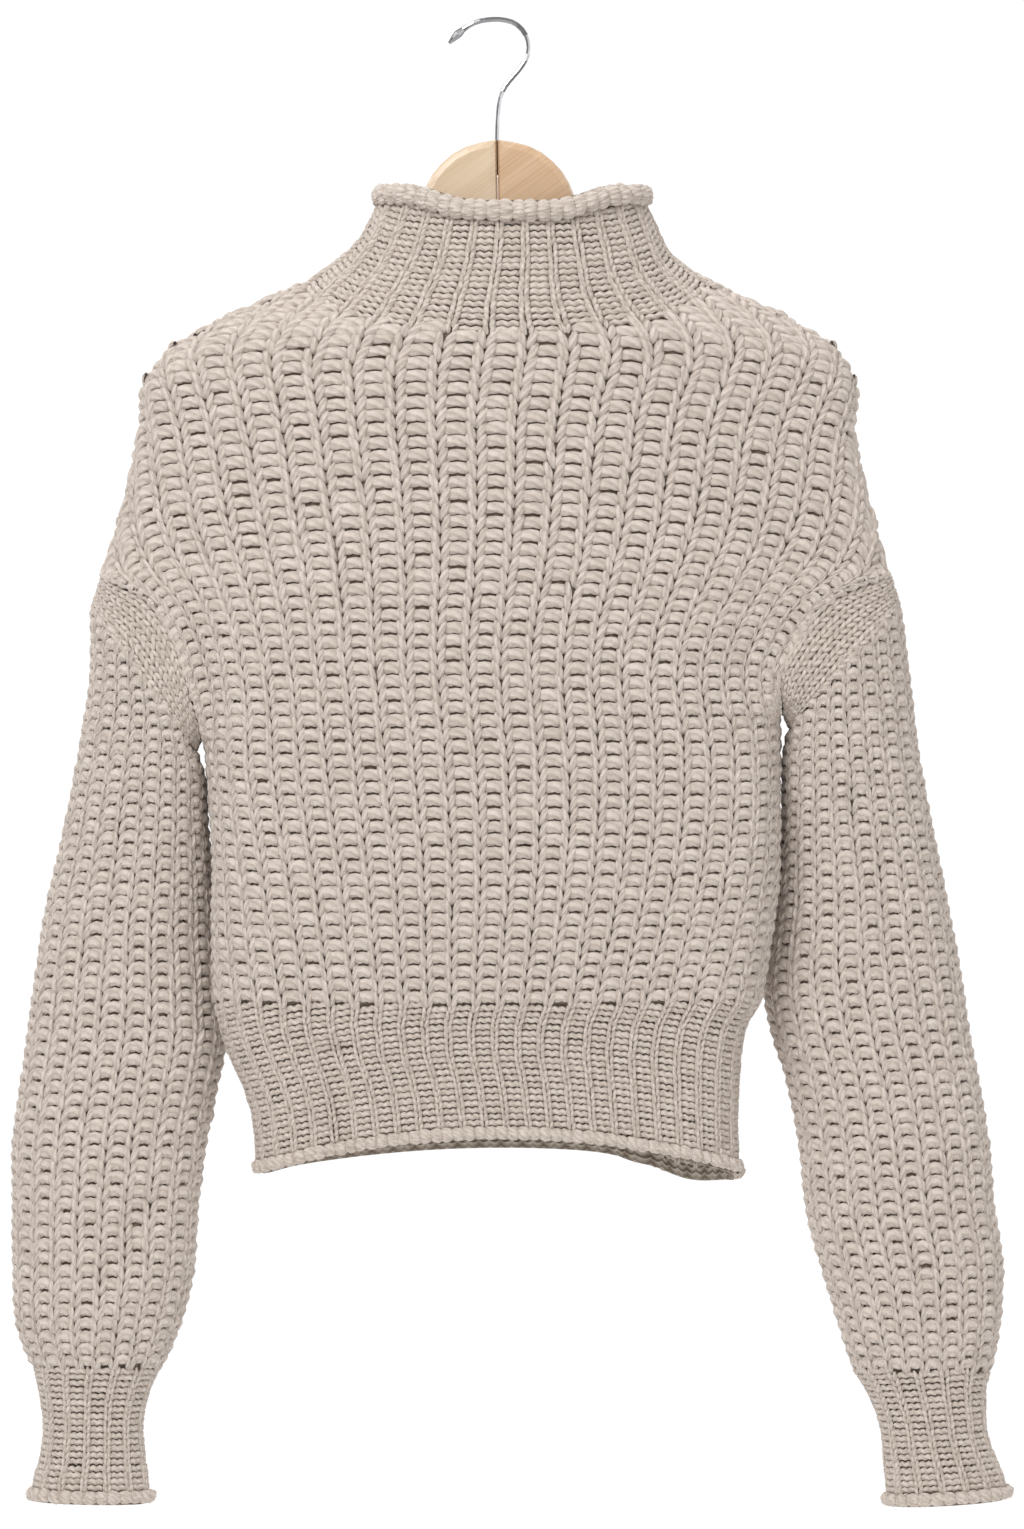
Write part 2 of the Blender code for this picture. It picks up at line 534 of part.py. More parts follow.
class Sweater:
    """The knitted pieces, worked out from their sections so that their seams meet."""

    def __init__(self, collection, yarn, rib_yarn):
        self.collection = collection
        self.yarn = yarn
        self.rib_yarn = rib_yarn
        self.body = Sections(BODY_ROWS, BODY_FOLDS, armhole=True)
        self.hem = Sections(HEM_ROWS_TABLE, HEM_FOLDS, HEM_LIFTS)
        self.collar = Sections(COLLAR_ROWS_TABLE, lifts=COLLAR_LIFTS)
        self.columns = 2 * BODY_WALES
        self.neck_first = BODY_WALES - NECK_WALES
        self.neck_last = BODY_WALES + NECK_WALES

    def body_grid(self, side):
        """Return one body panel's points: a column for each crest and furrow."""
        arm = self.body.place[UNDERARM_ROW]
        grid = np.empty((self.columns + 1, ROWS_BELOW_ARM + ROWS_ABOVE_ARM + 1, 3))
        for i, s in enumerate(np.linspace(-1.0, 1.0, self.columns + 1)):
            low = self.body.rib(s, np.linspace(0.0, arm, ROWS_BELOW_ARM + 1), side)
            top = self.body.rib(s, np.linspace(arm, self.body.end_of_rib(s), 60), side)
            grid[i] = np.vstack((low[:-1], along(top, ROWS_ABOVE_ARM)))
        return grid

    def body_normals(self, grid):
        """Return the panel's normals, flat to the seam plane where two panels meet."""
        normals = grid_normals(grid, closed=False)
        flat = np.array((1.0, 0.0, 1.0))
        for edge in (0, -1):
            normals[edge, :ROWS_BELOW_ARM] = unit(normals[edge, :ROWS_BELOW_ARM] * flat)
        top_edge = list(range(self.neck_first)) + list(range(self.neck_last + 1, self.columns + 1))
        for i in top_edge:
            before = grid[max(i - 1, 0), -1]
            after = grid[min(i + 1, self.columns), -1]
            tangent = unit((after - before) * flat)
            normals[i, -1] = np.array((-tangent[2], 0.0, tangent[0]))
        up = np.array((0.0, 0.0, 1.0))
        normals[:, 0] = in_plane_normals(grid[:, 0], up, closed=False)
        for edge in (0, -1):
            normals[edge, 0] = unit(normals[edge, 0] * (1.0, 0.0, 0.0))
        return normals

    def build(self):
        """Work out the grids, agree the seams, and build every knitted piece."""
        front, back = self.body_grid(FRONT), self.body_grid(BACK)
        front_normals, back_normals = self.body_normals(front), self.body_normals(back)
        collar = self.collar.tube(4 * NECK_WALES, COLLAR_ROWS)
        collar_normals = grid_normals(collar, closed=True)
        self.agree_neck(front, front_normals, back, back_normals, collar, collar_normals)
        self.add_side(
            "right", 0, RIGHT_SLEEVE_ROWS, RIGHT_CUFF_ROWS,
            front, front_normals, back, back_normals,
        )
        self.add_side(
            "left", -1, LEFT_SLEEVE_ROWS, LEFT_CUFF_ROWS,
            front, front_normals, back, back_normals,
        )
        for name, side, grid, normals in (
            ("front", FRONT, front, front_normals),
            ("back", BACK, back, back_normals),
        ):
            grid[:, 0, 2] += SEAM_GAP / 2
            grid[:, :, 1] += side * SEAM_GAP / 2
            outer = ribbed(grid, normals, RIB_RELIEF)
            inner = (grid - WALL * normals)[::2]
            build_wall(
                name, outer, inner, False, self.yarn, self.collection,
                split_rows=ROWS_ABOVE_ARM,
            )
            self.add_hem("hem_" + name, side)
        self.add_collar(collar, collar_normals)

    def agree_neck(self, front, front_normals, back, back_normals, collar, collar_normals):
        """Give the neck seam one set of normals and open its gap."""
        count = 2 * NECK_WALES
        ends = (0, count)
        around = ring_tangents(collar[:, 0], closed=True)
        for k in range(4 * NECK_WALES):
            on_front = k <= count
            column = self.neck_first + (k if on_front else 2 * count - k)
            grid, normals = (front, front_normals) if on_front else (back, back_normals)
            shared = collar_normals[k, 0] + normals[column, -2]
            if k in ends:
                shared = shared * (1.0, 0.0, 1.0)
            shared = unit(shared)
            upward = unit(np.cross(shared, around[k]))
            if upward[2] < 0:
                upward = -upward
            collar_normals[k, 0] = shared
            normals[column, -1] = shared
            grid[column, -1] -= upward * SEAM_GAP / 2
            collar[k, 0] += upward * SEAM_GAP / 2
            if k in ends:
                back_normals[column, -1] = shared
                back[column, -1] -= upward * SEAM_GAP / 2

    def add_side(self, side_name, edge, sleeve_rows, cuff_rows, front, front_normals,
                 back, back_normals):
        """Build one armhole band, sleeve and cuff, and open the seams between them."""
        sleeve = Sections(sleeve_rows, SLEEVE_FOLDS)
        first = ROWS_BELOW_ARM
        loop_front, loop_back = front[edge, first:].copy(), back[edge, first:].copy()
        tip, underarm = loop_front[-1].copy(), loop_front[0].copy()
        if edge == 0:
            loop = np.vstack((loop_front[::-1], loop_back[1:-1]))
        else:
            loop = np.vstack((loop_front, loop_back[-2:0:-1]))
        ring = np.empty((2 * len(loop), 3))
        ring[::2] = loop
        ring[1::2] = (loop + np.roll(loop, -1, axis=0)) / 2
        target = sleeve.tube(BAND_SIDES, 1)[:, 0]
        across = target - ring
        low = np.clip(1.0 - np.linalg.norm(ring - underarm, axis=1) / (45 * MM), 0.0, 1.0)
        middle = (tip + underarm) / 2
        outward = unit(ring - middle)
        normals = np.cross(ring_tangents(ring, closed=True), across)
        normals *= np.sign(np.sum(normals * outward, axis=1, keepdims=True))
        down = np.array((0.0, 0.0, -1.0))
        normals = unit(unit(normals) * (1.0 - low[:, None]) + down * 1.5 * low[:, None])
        shift = unit(across - normals * np.sum(across * normals, axis=1, keepdims=True))
        for values in (normals, shift):
            values[1::2] = (values[::2] + np.roll(values[::2], -1, axis=0)) / 2
        self.agree_armhole(edge, normals, shift, front, front_normals, back, back_normals)
        half = BAND_SIDES // 2
        plane = chord_plane(target, half)
        plane = plane * np.sign(np.dot(plane, across.mean(axis=0)))
        end_normals = in_plane_normals(target, plane, closed=True)
        self.add_band("armhole_band_" + side_name, ring + shift * ARMHOLE_GAP / 2, normals,
                      target - plane * SEAM_GAP / 2, end_normals)
        self.add_sleeve("sleeve_" + side_name, sleeve, plane)
        self.add_cuff("cuff_" + side_name, Sections(cuff_rows))

    @staticmethod
    def agree_armhole(edge, normals, shift, front, front_normals, back, back_normals):
        """Give the body's armhole edge the band's normals and open the gap."""
        rows = ROWS_ABOVE_ARM
        last = ROWS_BELOW_ARM + rows
        for k in range(2 * rows):
            on_front = k <= rows
            if edge == 0:
                row = last - k if on_front else ROWS_BELOW_ARM + k - rows
            else:
                row = ROWS_BELOW_ARM + k if on_front else last - (k - rows)
            normal, gap = normals[2 * k], shift[2 * k] * ARMHOLE_GAP / 2
            ends = k in (0, rows)
            if ends:
                normal = unit(normal * (1.0, 0.0, 1.0))
                gap = gap * (1.0, 0.0, 1.0)
            if on_front:
                front_normals[edge, row] = normal
                front[edge, row] -= gap
            if ends or not on_front:
                back_normals[edge, row] = normal
                back[edge, row] -= gap

    def add_band(self, name, start, start_normals, end, end_normals):
        """Build a plain-knit band with its wales running around the armhole."""
        stations = 2 * BAND_WALES + 1
        outer = np.empty((BAND_SIDES, stations, 3))
        inner = np.empty((BAND_SIDES, 3, 3))
        for j in range(stations):
            part = j / (stations - 1)
            point = start + (end - start) * part
            normal = start_normals * (1 - part) + end_normals * part
            if 0 < j < stations - 1:
                normal = unit(normal)
            sink = BAND_RELIEF * (j % 2 == 0)
            outer[:, j] = point - sink * normal
            if j % BAND_WALES == 0:
                inner[:, j // BAND_WALES] = point - WALL * normal
        build_wall(name, outer, inner[::2], True, self.rib_yarn, self.collection)

    def add_sleeve(self, name, sleeve, plane):
        """Build one ribbed sleeve, flat to its seams at both ends."""
        points = sleeve.tube(2 * SLEEVE_RIBS, SLEEVE_ROWS)
        normals = grid_normals(points, closed=True)
        normals[:, 0] = in_plane_normals(points[:, 0], plane, closed=True)
        points[:, 0] += plane * SEAM_GAP / 2
        lower = chord_plane(points[:, -1], SLEEVE_RIBS)
        lower = lower * np.sign(lower[2])
        normals[:, -1] = in_plane_normals(points[:, -1], lower, closed=True)
        points[:, -1] += lower * SEAM_GAP / 2
        outer = ribbed(points, normals, RIB_RELIEF)
        inner = (points - WALL * normals)[::2]
        build_wall(name, outer, inner, True, self.yarn, self.collection)

    def add_cuff(self, name, cuff):
        """Build one cuff with its rolled edge."""
        points = cuff.tube(2 * CUFF_RIBS, CUFF_ROWS)
        normals = grid_normals(points, closed=True)
        upper = chord_plane(points[:, 0], CUFF_RIBS)
        upper = upper * np.sign(upper[2])
        normals[:, 0] = in_plane_normals(points[:, 0], upper, closed=True)
        points[:, 0] -= upper * SEAM_GAP / 2
        onward = unit(points[:, -1] - points[:, -2])
        normals[:, -1] = unit(normals[:, -1] - onward * np.sum(
            normals[:, -1] * onward, axis=1, keepdims=True))
        outer, inner = with_roll(points, normals, onward, CUFF_ROLL)
        build_wall(name, outer, inner, True, self.rib_yarn, self.collection)

    def add_hem(self, name, side):
        """Build the front or back half of the hem, its ribs under the body's."""
        grid = np.empty((self.columns + 1, HEM_ROWS + 1, 3))
        places = np.linspace(0.0, 1.0, HEM_ROWS + 1)
        for i, s in enumerate(np.linspace(-1.0, 1.0, self.columns + 1)):
            grid[i] = self.hem.rib(s, places, side)
        normals = grid_normals(grid, closed=False)
        flat = np.array((1.0, 0.0, 1.0))
        up = np.array((0.0, 0.0, 1.0))
        normals[:, 0] = in_plane_normals(grid[:, 0], up, closed=False)
        for edge in (0, -1):
            normals[edge] = unit(normals[edge] * flat)
            normals[edge, 0] = unit(normals[edge, 0] * (1.0, 0.0, 0.0))
        grid[:, 0, 2] -= SEAM_GAP / 2
        grid[:, :, 1] += side * SEAM_GAP / 2
        onward = np.tile((0.0, 0.0, -1.0), (len(grid), 1))
        normals[:, -1] = unit(normals[:, -1] * (1.0, 1.0, 0.0))
        outer, inner = with_roll(grid, normals, onward, HEM_ROLL)
        build_wall(name, outer, inner, False, self.rib_yarn, self.collection)

    def add_collar(self, points, normals):
        """Build the collar with its thick rolled top."""
        onward = np.tile((0.0, 0.0, 1.0), (len(points), 1))
        normals[:, -1] = unit(normals[:, -1] * (1.0, 1.0, 0.0))
        outer, inner = with_roll(points, normals, onward, COLLAR_ROLL)
        build_wall("collar", outer, inner, True, self.rib_yarn, self.collection)


def mesh_from_curve(thing, collection):
    """Turn a curve object into a welded mesh object of the same name."""
    name = thing.name
    seen = thing.evaluated_get(bpy.context.evaluated_depsgraph_get())
    mesh = bpy.data.meshes.new_from_object(seen)
    shape = bmesh.new()
    shape.from_mesh(mesh)
    bmesh.ops.remove_doubles(shape, verts=shape.verts, dist=0.00002)
    bmesh.ops.recalc_face_normals(shape, faces=shape.faces)
    shape.to_mesh(mesh)
    shape.free()
    placed = bpy.data.objects.new(name, mesh)
    placed.matrix_world = thing.matrix_world
    bpy.data.objects.remove(thing, do_unlink=True)
    placed.name = name
    collection.objects.link(placed)
    return placed


def add_hanger_half(side_name, direction, material, collection, cutter):
    """Build one wooden half of the hanger, up to the glued middle."""
    curve = bpy.data.curves.new("hanger_" + side_name, "CURVE")
    curve.dimensions = "2D"
    curve.fill_mode = "BOTH"
    curve.extrude = HANGER_THICK / 2 - HANGER_EDGE
    curve.bevel_depth = HANGER_EDGE
    curve.bevel_resolution = 1
    curve.offset = -HANGER_EDGE
    middle = SEAM_GAP / 2 / MM
    outline = (
        ((middle, 0.0),) + HANGER_TOP_EDGE + HANGER_END + HANGER_LOWER_EDGE
        + ((middle, HANGER_FOOT_Z),)
    )
    spline = curve.splines.new("BEZIER")
    spline.bezier_points.add(len(outline) - 1)
    spline.use_cyclic_u = True
    spline.resolution_u = 2
    for knot, (x, z) in zip(spline.bezier_points, outline):
        knot.co = (direction * x * MM, z * MM, 0.0)
        knot.handle_left_type = "AUTO"
        knot.handle_right_type = "AUTO"
    for knot in (spline.bezier_points[0], spline.bezier_points[-1]):
        knot.handle_left_type = "VECTOR"
        knot.handle_right_type = "VECTOR"
    thing = bpy.data.objects.new("hanger_" + side_name, curve)
    thing.location = (0.0, 0.0, HANGER_TOP_Z)
    thing.rotation_euler = (math.pi / 2, HANGER_TILT, 0.0)
    collection.objects.link(thing)
    bpy.context.view_layer.update()
    half = mesh_from_curve(thing, collection)
    half.data.materials.append(material)
    bore = half.modifiers.new("bore", "BOOLEAN")
    bore.object = cutter
    bore.operation = "DIFFERENCE"
    half.data.shade_smooth()
    half.data.set_sharp_from_angle(angle=math.radians(40))
    return half


def add_bore_cutter(collection):
    """Build the cylinder that leaves the hook's bore along the glued middle."""
    bpy.ops.mesh.primitive_cylinder_add(
        vertices=16, radius=BORE_RADIUS, depth=2 * BORE_DEPTH,
        location=(0.0, 0.0, HANGER_TOP_Z), rotation=(0.0, HANGER_TILT, 0.0),
    )
    cutter = bpy.context.object
    cutter.name = "bore_cutter"
    for home in list(cutter.users_collection):
        home.objects.unlink(cutter)
    collection.objects.link(cutter)
    cutter.hide_render = True
    cutter.display_type = "WIRE"
    return cutter


def hook_wire_points():
    """Return the hook's middle line on a smooth curve, evenly spaced."""
    knots = np.array([(x, 0.0, z) for x, z in HOOK_LINE]) * MM
    steps = np.sqrt(np.linalg.norm(np.diff(knots, axis=0), axis=1))
    place = np.concatenate(([0.0], np.cumsum(steps)))
    tangent = np.gradient(knots, place, axis=0)
    fine = []
    for k in range(len(knots) - 1):
        width = place[k + 1] - place[k]
        for part in np.linspace(0.0, 1.0, 12, endpoint=False):
            fine.append(
                knots[k] * (1 + 2 * part) * (1 - part) ** 2
                + tangent[k] * width * part * (1 - part) ** 2
                + knots[k + 1] * part**2 * (3 - 2 * part)
                + tangent[k + 1] * width * part**2 * (part - 1)
            )
    fine.append(knots[-1])
    return along(np.array(fine), HOOK_POINTS - 1)


def add_hook(material, collection):
    """Build the chrome wire hook with its rounded tip."""
    line = hook_wire_points()
    curve = bpy.data.curves.new("hook", "CURVE")
    curve.dimensions = "3D"
    curve.bevel_depth = WIRE_RADIUS
    curve.bevel_resolution = 2
    curve.use_fill_caps = True
    spline = curve.splines.new("POLY")
    spline.points.add(len(line) - 1)
    swell = (0.55, 1.25, TIP_BALL_RADIUS / WIRE_RADIUS, 1.2)
    for index, point in enumerate(line):
        spline.points[index].co = (*point, 1.0)
        spline.points[index].radius = swell[index] if index < len(swell) else 1.0
    thing = bpy.data.objects.new("hook", curve)
    collection.objects.link(thing)
    bpy.context.view_layer.update()
    hook = mesh_from_curve(thing, collection)
    hook.data.materials.append(material)
    hook.data.shade_smooth()
    hook.data.set_sharp_from_angle(angle=math.radians(50))
    return hook


def main():
    clear_scene()
    parts = bpy.data.collections.new("sweater_on_hanger")
    cutters = bpy.data.collections.new("cutters")
    for collection in (parts, cutters):
        bpy.context.scene.collection.children.link(collection)
    yarn = make_material("beige_yarn", (0.60, 0.53, 0.46), 0.92, 0.0)
    rib_yarn = make_material("beige_rib_yarn", (0.57, 0.50, 0.43), 0.92, 0.0)
    wood_left = make_material("beech_left", (0.74, 0.52, 0.33), 0.42, 0.0)
    wood_right = make_material("beech_right", (0.80, 0.62, 0.43), 0.42, 0.0)
    chrome = make_material("chrome_wire", (0.72, 0.72, 0.72), 0.12, 1.0)
    Sweater(parts, yarn, rib_yarn).build()
    cutter = add_bore_cutter(cutters)
    add_hanger_half("left", 1.0, wood_left, parts, cutter)
    add_hanger_half("right", -1.0, wood_right, parts, cutter)
    add_hook(chrome, parts)


main()
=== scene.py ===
"""Looks of a chunky ribbed sweater with a rolled mock neck on a flat wooden hanger.

Every knitted piece is a thin shell of cloth on its solid's form, with its stitches laid
on it as lengths of yarn: broad ribs of legs and bars on the body and sleeves, a finer
rib on the collar, hem and cuffs, and plain knit around the armholes.
Tables are in millimetres, everything that reaches Blender is in metres.
"""
import logging
import math
from collections.abc import Callable
from dataclasses import dataclass, field
from enum import Enum

import bmesh
import bpy
import numpy as np
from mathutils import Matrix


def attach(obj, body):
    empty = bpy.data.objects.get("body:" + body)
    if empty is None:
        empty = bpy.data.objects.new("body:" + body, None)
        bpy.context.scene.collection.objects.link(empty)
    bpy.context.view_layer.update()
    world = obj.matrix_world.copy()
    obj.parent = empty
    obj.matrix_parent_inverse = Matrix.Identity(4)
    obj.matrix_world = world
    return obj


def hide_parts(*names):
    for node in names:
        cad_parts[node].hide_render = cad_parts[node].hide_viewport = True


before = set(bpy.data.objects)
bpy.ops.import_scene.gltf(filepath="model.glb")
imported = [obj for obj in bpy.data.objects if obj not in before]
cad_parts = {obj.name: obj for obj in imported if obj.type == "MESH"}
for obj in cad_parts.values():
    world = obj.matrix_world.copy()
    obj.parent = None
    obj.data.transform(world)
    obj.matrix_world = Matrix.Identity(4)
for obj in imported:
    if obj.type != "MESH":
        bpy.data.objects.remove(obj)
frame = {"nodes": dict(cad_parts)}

MM = 0.001
LOG = logging.getLogger("sweater")
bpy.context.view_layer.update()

Array = np.ndarray
Row = tuple[float, ...]


class Side(Enum):
    """The two faces of a flattened tube."""

    FRONT = -1.0
    BACK = 1.0


SECTION_COLUMNS = (
    "left_x", "left_z", "right_x", "right_z", "seam_y", "front_sag", "back_sag",
    "front", "back", "round", "reach", "lift", "fan", "spread",
)
OVAL_COLUMNS = ("left_x", "left_z", "right_x", "right_z", "seam_y", "depth")
BODY_WALES, NECK_WALES = 25, 13
BODY_FAN = BODY_WALES / NECK_WALES
UNDERARM_ROW, TIP_ROW = 4, 8
BODY_ROWS = (
    (-181.8, -627.8, 170.2, -626.6, 0, -1.9, -1.9, 44, 44, 0.67, 0.18, 1.0, 1.00, -0.02),
    (-183.7, -581.1, 177.3, -581.1, 0, 0.0, 0.0, 51, 50, 0.67, 0.18, 1.0, 1.00, 0.04),
    (-183.0, -539.5, 182.4, -539.5, 0, 0.0, 0.0, 55, 53, 0.67, 0.18, 1.0, 1.00, 0.10),
    (-185.6, -496.0, 182.4, -491.5, 0, 0.0, 0.0, 57, 54, 0.67, 0.18, 1.0, 1.00, 0.16),
    (-188.2, -460.8, 181.8, -443.5, 0, 0.0, 0.0, 57, 54, 0.67, 0.17, 1.0, 1.00, 0.20),
    (-196.5, -427.5, 180.5, -423.0, 0, 0.0, 0.0, 57, 54, 0.30, 0.10, 1.0, 1.00, 0.27),
    (-206.1, -398.7, 192.0, -396.8, 0, 2.3, 3.0, 57, 54, 0.00, 0.08, 1.0, 1.00, 0.25),
    (-224.0, -371.8, 218.2, -368.6, 0, 5.4, 7.0, 57, 54, 0.20, 0.08, 1.0, 1.00, 0.17),
    (-253.4, -352.0, 252.2, -352.0, 0, 17.3, 19.0, 57, 54, 0.27, 0.08, 1.0, 1.00, 0.07),
    (-245.1, -325.1, 244.5, -325.1, 0, 16.0, 20.0, 57, 54, 0.27, 0.08, 1.0, 1.07, 0.07),
    (-236.8, -293.1, 236.2, -293.1, 0, 11.5, 18.0, 57, 54, 0.27, 0.08, 1.0, 1.13, 0.09),
    (-231.0, -261.1, 230.4, -262.4, 0, 3.9, 15.0, 57, 54, 0.27, 0.08, 1.0, 1.19, 0.10),
    (-228.5, -236.8, 231.7, -236.8, 0, -2.6, 13.0, 57, 54, 0.27, 0.08, 0.9, 1.26, 0.08),
    (-213.1, -211.2, 220.2, -210.6, 0, -14.4, 6.0, 57, 54, 0.29, 0.10, 0.8, 1.42, 0.04),
    (-180.5, -191.4, 192.0, -191.4, 0, -23.6, 1.0, 57, 55, 0.38, 0.22, 0.7, 1.60, 0.03),
    (-150.4, -177.3, 162.6, -177.3, 0, -30.1, 2.0, 57, 56, 0.60, 0.50, 0.6, 1.77, 0.02),
    (-124.2, -167.0, 138.9, -167.0, 0, -34.6, 7.0, 57, 57, 1.00, 1.00, 0.5, BODY_FAN, 0.0),
)
HEM_SECTION_ROWS = (
    (-181.8, -627.8, 170.2, -626.6, 0, -1.9, -1.9, 44, 44, 0.67, 0.18, 1.0, 1.0, -0.02),
    (-177.9, -645.1, 160.0, -645.1, 0, 1.3, 0.0, 40, 40, 0.70, 0.20, 1.0, 1.0, 0.0),
    (-171.5, -664.3, 156.8, -664.3, 0, 3.2, 1.0, 37, 37, 0.75, 0.22, 1.0, 1.0, 0.0),
    (-162.6, -683.5, 155.5, -683.5, 0, 6.4, 3.0, 35, 35, 0.80, 0.23, 1.0, 1.0, 0.0),
    (-157.4, -702.7, 154.9, -702.7, 0, 9.6, 6.0, 34, 34, 0.85, 0.24, 1.0, 1.0, 0.0),
    (-154.2, -737.3, 156.2, -736.0, 0, 22.4, 14.6, 33, 33, 0.90, 0.25, 1.0, 1.0, 0.0),
)
COLLAR_SECTION_ROWS = (
    (-124.2, -167.0, 138.9, -167.0, 0, -34.6, 7.0, 57, 57, 1.0, 1.0, 0.5, 1.0, 0.0),
    (-112.0, -158.1, 124.8, -158.1, 0, -31.3, 4.5, 54, 54, 1.0, 1.0, 0.5, 1.0, 0.0),
    (-96.0, -146.6, 110.7, -146.6, 0, -24.9, 2.6, 50, 50, 1.0, 1.0, 0.5, 1.0, 0.0),
    (-85.8, -135.0, 104.3, -135.0, 0, -18.6, 0.6, 46, 46, 1.0, 1.0, 0.5, 1.0, 0.0),
    (-80.0, -124.2, 99.2, -124.2, 0, -15.0, -4.0, 43, 43, 1.0, 1.0, 0.5, 1.0, 0.0),
    (-69.8, -108.8, 89.6, -108.8, 0, -7.5, -9.0, 41, 41, 1.0, 1.0, 0.5, 1.0, 0.0),
)
RIGHT_SLEEVE_ROWS = (
    (-260.5, -374.4, -191.0, -467.5, 0, 35),
    (-261.1, -411.5, -185.8, -486.0, 6, 35),
    (-266.9, -453.1, -184.6, -513.9, 13, 35),
    (-274.6, -494.7, -183.0, -537.6, 20, 35),
    (-283.5, -535.0, -180.5, -563.2, 26, 36),
    (-291.8, -569.6, -179.2, -587.5, 30, 37),
    (-297.6, -606.7, -175.4, -617.0, 32, 38),
    (-302.7, -645.1, -173.4, -649.0, 32, 39),
    (-307.8, -683.5, -179.8, -684.8, 30, 40),
    (-312.3, -721.9, -186.9, -721.9, 27, 40),
    (-312.3, -760.3, -191.4, -760.3, 24, 40),
    (-311.7, -798.7, -193.9, -798.7, 20, 39),
    (-310.4, -827.5, -200.3, -827.5, 16, 36),
    (-304.6, -849.9, -208.0, -849.9, 13, 31),
    (-297.6, -862.7, -213.8, -861.4, 12, 27),
)
RIGHT_CUFF_ROWS = (
    (-297.6, -862.7, -213.8, -861.4, 12, 27),
    (-294.4, -878.7, -221.4, -877.4, 12, 24),
    (-291.8, -901.1, -225.9, -901.1, 11, 22),
    (-294.4, -920.3, -224.0, -920.3, 11, 22),
    (-298.2, -934.4, -222.1, -935.7, 10, 24),
    (-299.5, -947.2, -220.8, -948.5, 10, 25),
)
LEFT_SLEEVE_ROWS = (
    (185.3, -452.5, 259.2, -372.5, 0, 35),
    (181.8, -476.5, 264.3, -411.5, 6, 35),
    (181.8, -507.5, 269.4, -453.1, 13, 35),
    (180.0, -533.1, 276.5, -494.7, 20, 35),
    (178.6, -561.9, 284.8, -535.0, 26, 36),
    (174.7, -587.5, 291.8, -569.6, 30, 37),
    (170.9, -616.3, 298.9, -606.7, 32, 38),
    (175.4, -645.1, 304.6, -645.1, 32, 39),
    (186.9, -683.5, 311.7, -683.5, 30, 40),
    (193.9, -721.9, 317.4, -721.9, 27, 40),
    (197.8, -760.3, 320.6, -760.3, 24, 40),
    (208.0, -798.7, 325.8, -798.7, 20, 39),
    (216.3, -827.5, 324.5, -827.5, 16, 36),
    (223.4, -849.9, 321.3, -849.9, 13, 31),
    (227.8, -864.0, 318.1, -864.0, 12, 27),
)
LEFT_CUFF_ROWS = (
    (227.8, -864.0, 318.1, -864.0, 12, 27),
    (236.2, -877.4, 314.9, -877.4, 12, 24),
    (245.1, -901.1, 315.5, -901.1, 11, 22),
    (247.0, -920.3, 321.3, -919.0, 11, 22),
    (248.3, -935.7, 327.0, -933.1, 10, 24),
    (249.6, -951.0, 329.0, -945.9, 10, 25),
)
FRONT, BACK = Side.FRONT.value, Side.BACK.value
FOLD_COLUMNS = ("side", "x0", "z0", "x1", "z1", "width", "depth")
BODY_FOLDS = (
    (FRONT, -186, -452, -190, -345, 9, 8),
    (FRONT, 181, -440, 183, -335, 10, 7),
    (FRONT, -140, -420, -160, -300, 14, 3),
    (FRONT, 150, -500, 158, -380, 13, 3),
    (BACK, -184, -455, -193, -350, 10, 7),
    (BACK, 178, -440, 187, -340, 9, 8),
    (BACK, -60, -240, -95, -420, 18, 4),
    (BACK, 70, -260, 96, -450, 20, 4),
)
HEM_FOLDS = (
    (FRONT, -104, -660, -102, -740, 8, 5),
    (BACK, 90, -650, 96, -740, 9, 5),
)
SLEEVE_FOLDS = (
    (FRONT, -231, -500, -262, -600, 10, 4),
    (FRONT, -226, -760, -262, -826, 10, 4),
    (BACK, -222, -520, -258, -610, 11, 5),
    (BACK, -240, -740, -276, -820, 10, 4),
    (FRONT, 228, -500, 257, -590, 10, 4),
    (FRONT, 252, -765, 290, -828, 10, 4),
    (BACK, 224, -515, 250, -610, 11, 5),
    (BACK, 246, -730, 284, -800, 10, 4),
)
LIFT_COLUMNS = ("side", "place", "width", "height")
COLLAR_LIFTS = (
    (FRONT, -0.8, 0.28, 8.0), (FRONT, 0.8, 0.28, 8.0),
    (BACK, -0.8, 0.35, 6.0), (BACK, 0.8, 0.35, 6.0),
)
HEM_LIFTS = ((BACK, 0.80, 0.22, -11.0),)
ARMHOLE_DEPTH, ARMHOLE_POWER, CROWN_POWER = 35.0, 2.4, 1.8
RIB_STEP = 0.125
CLOTH_OUTSIDE, CLOTH_INSIDE = 4.6, 7.2
INNER_LIFT = 9.3


def unit(vectors: Array) -> Array:
    """Return vectors at length one."""
    return vectors / np.maximum(np.linalg.norm(vectors, axis=-1, keepdims=True), 1e-12)


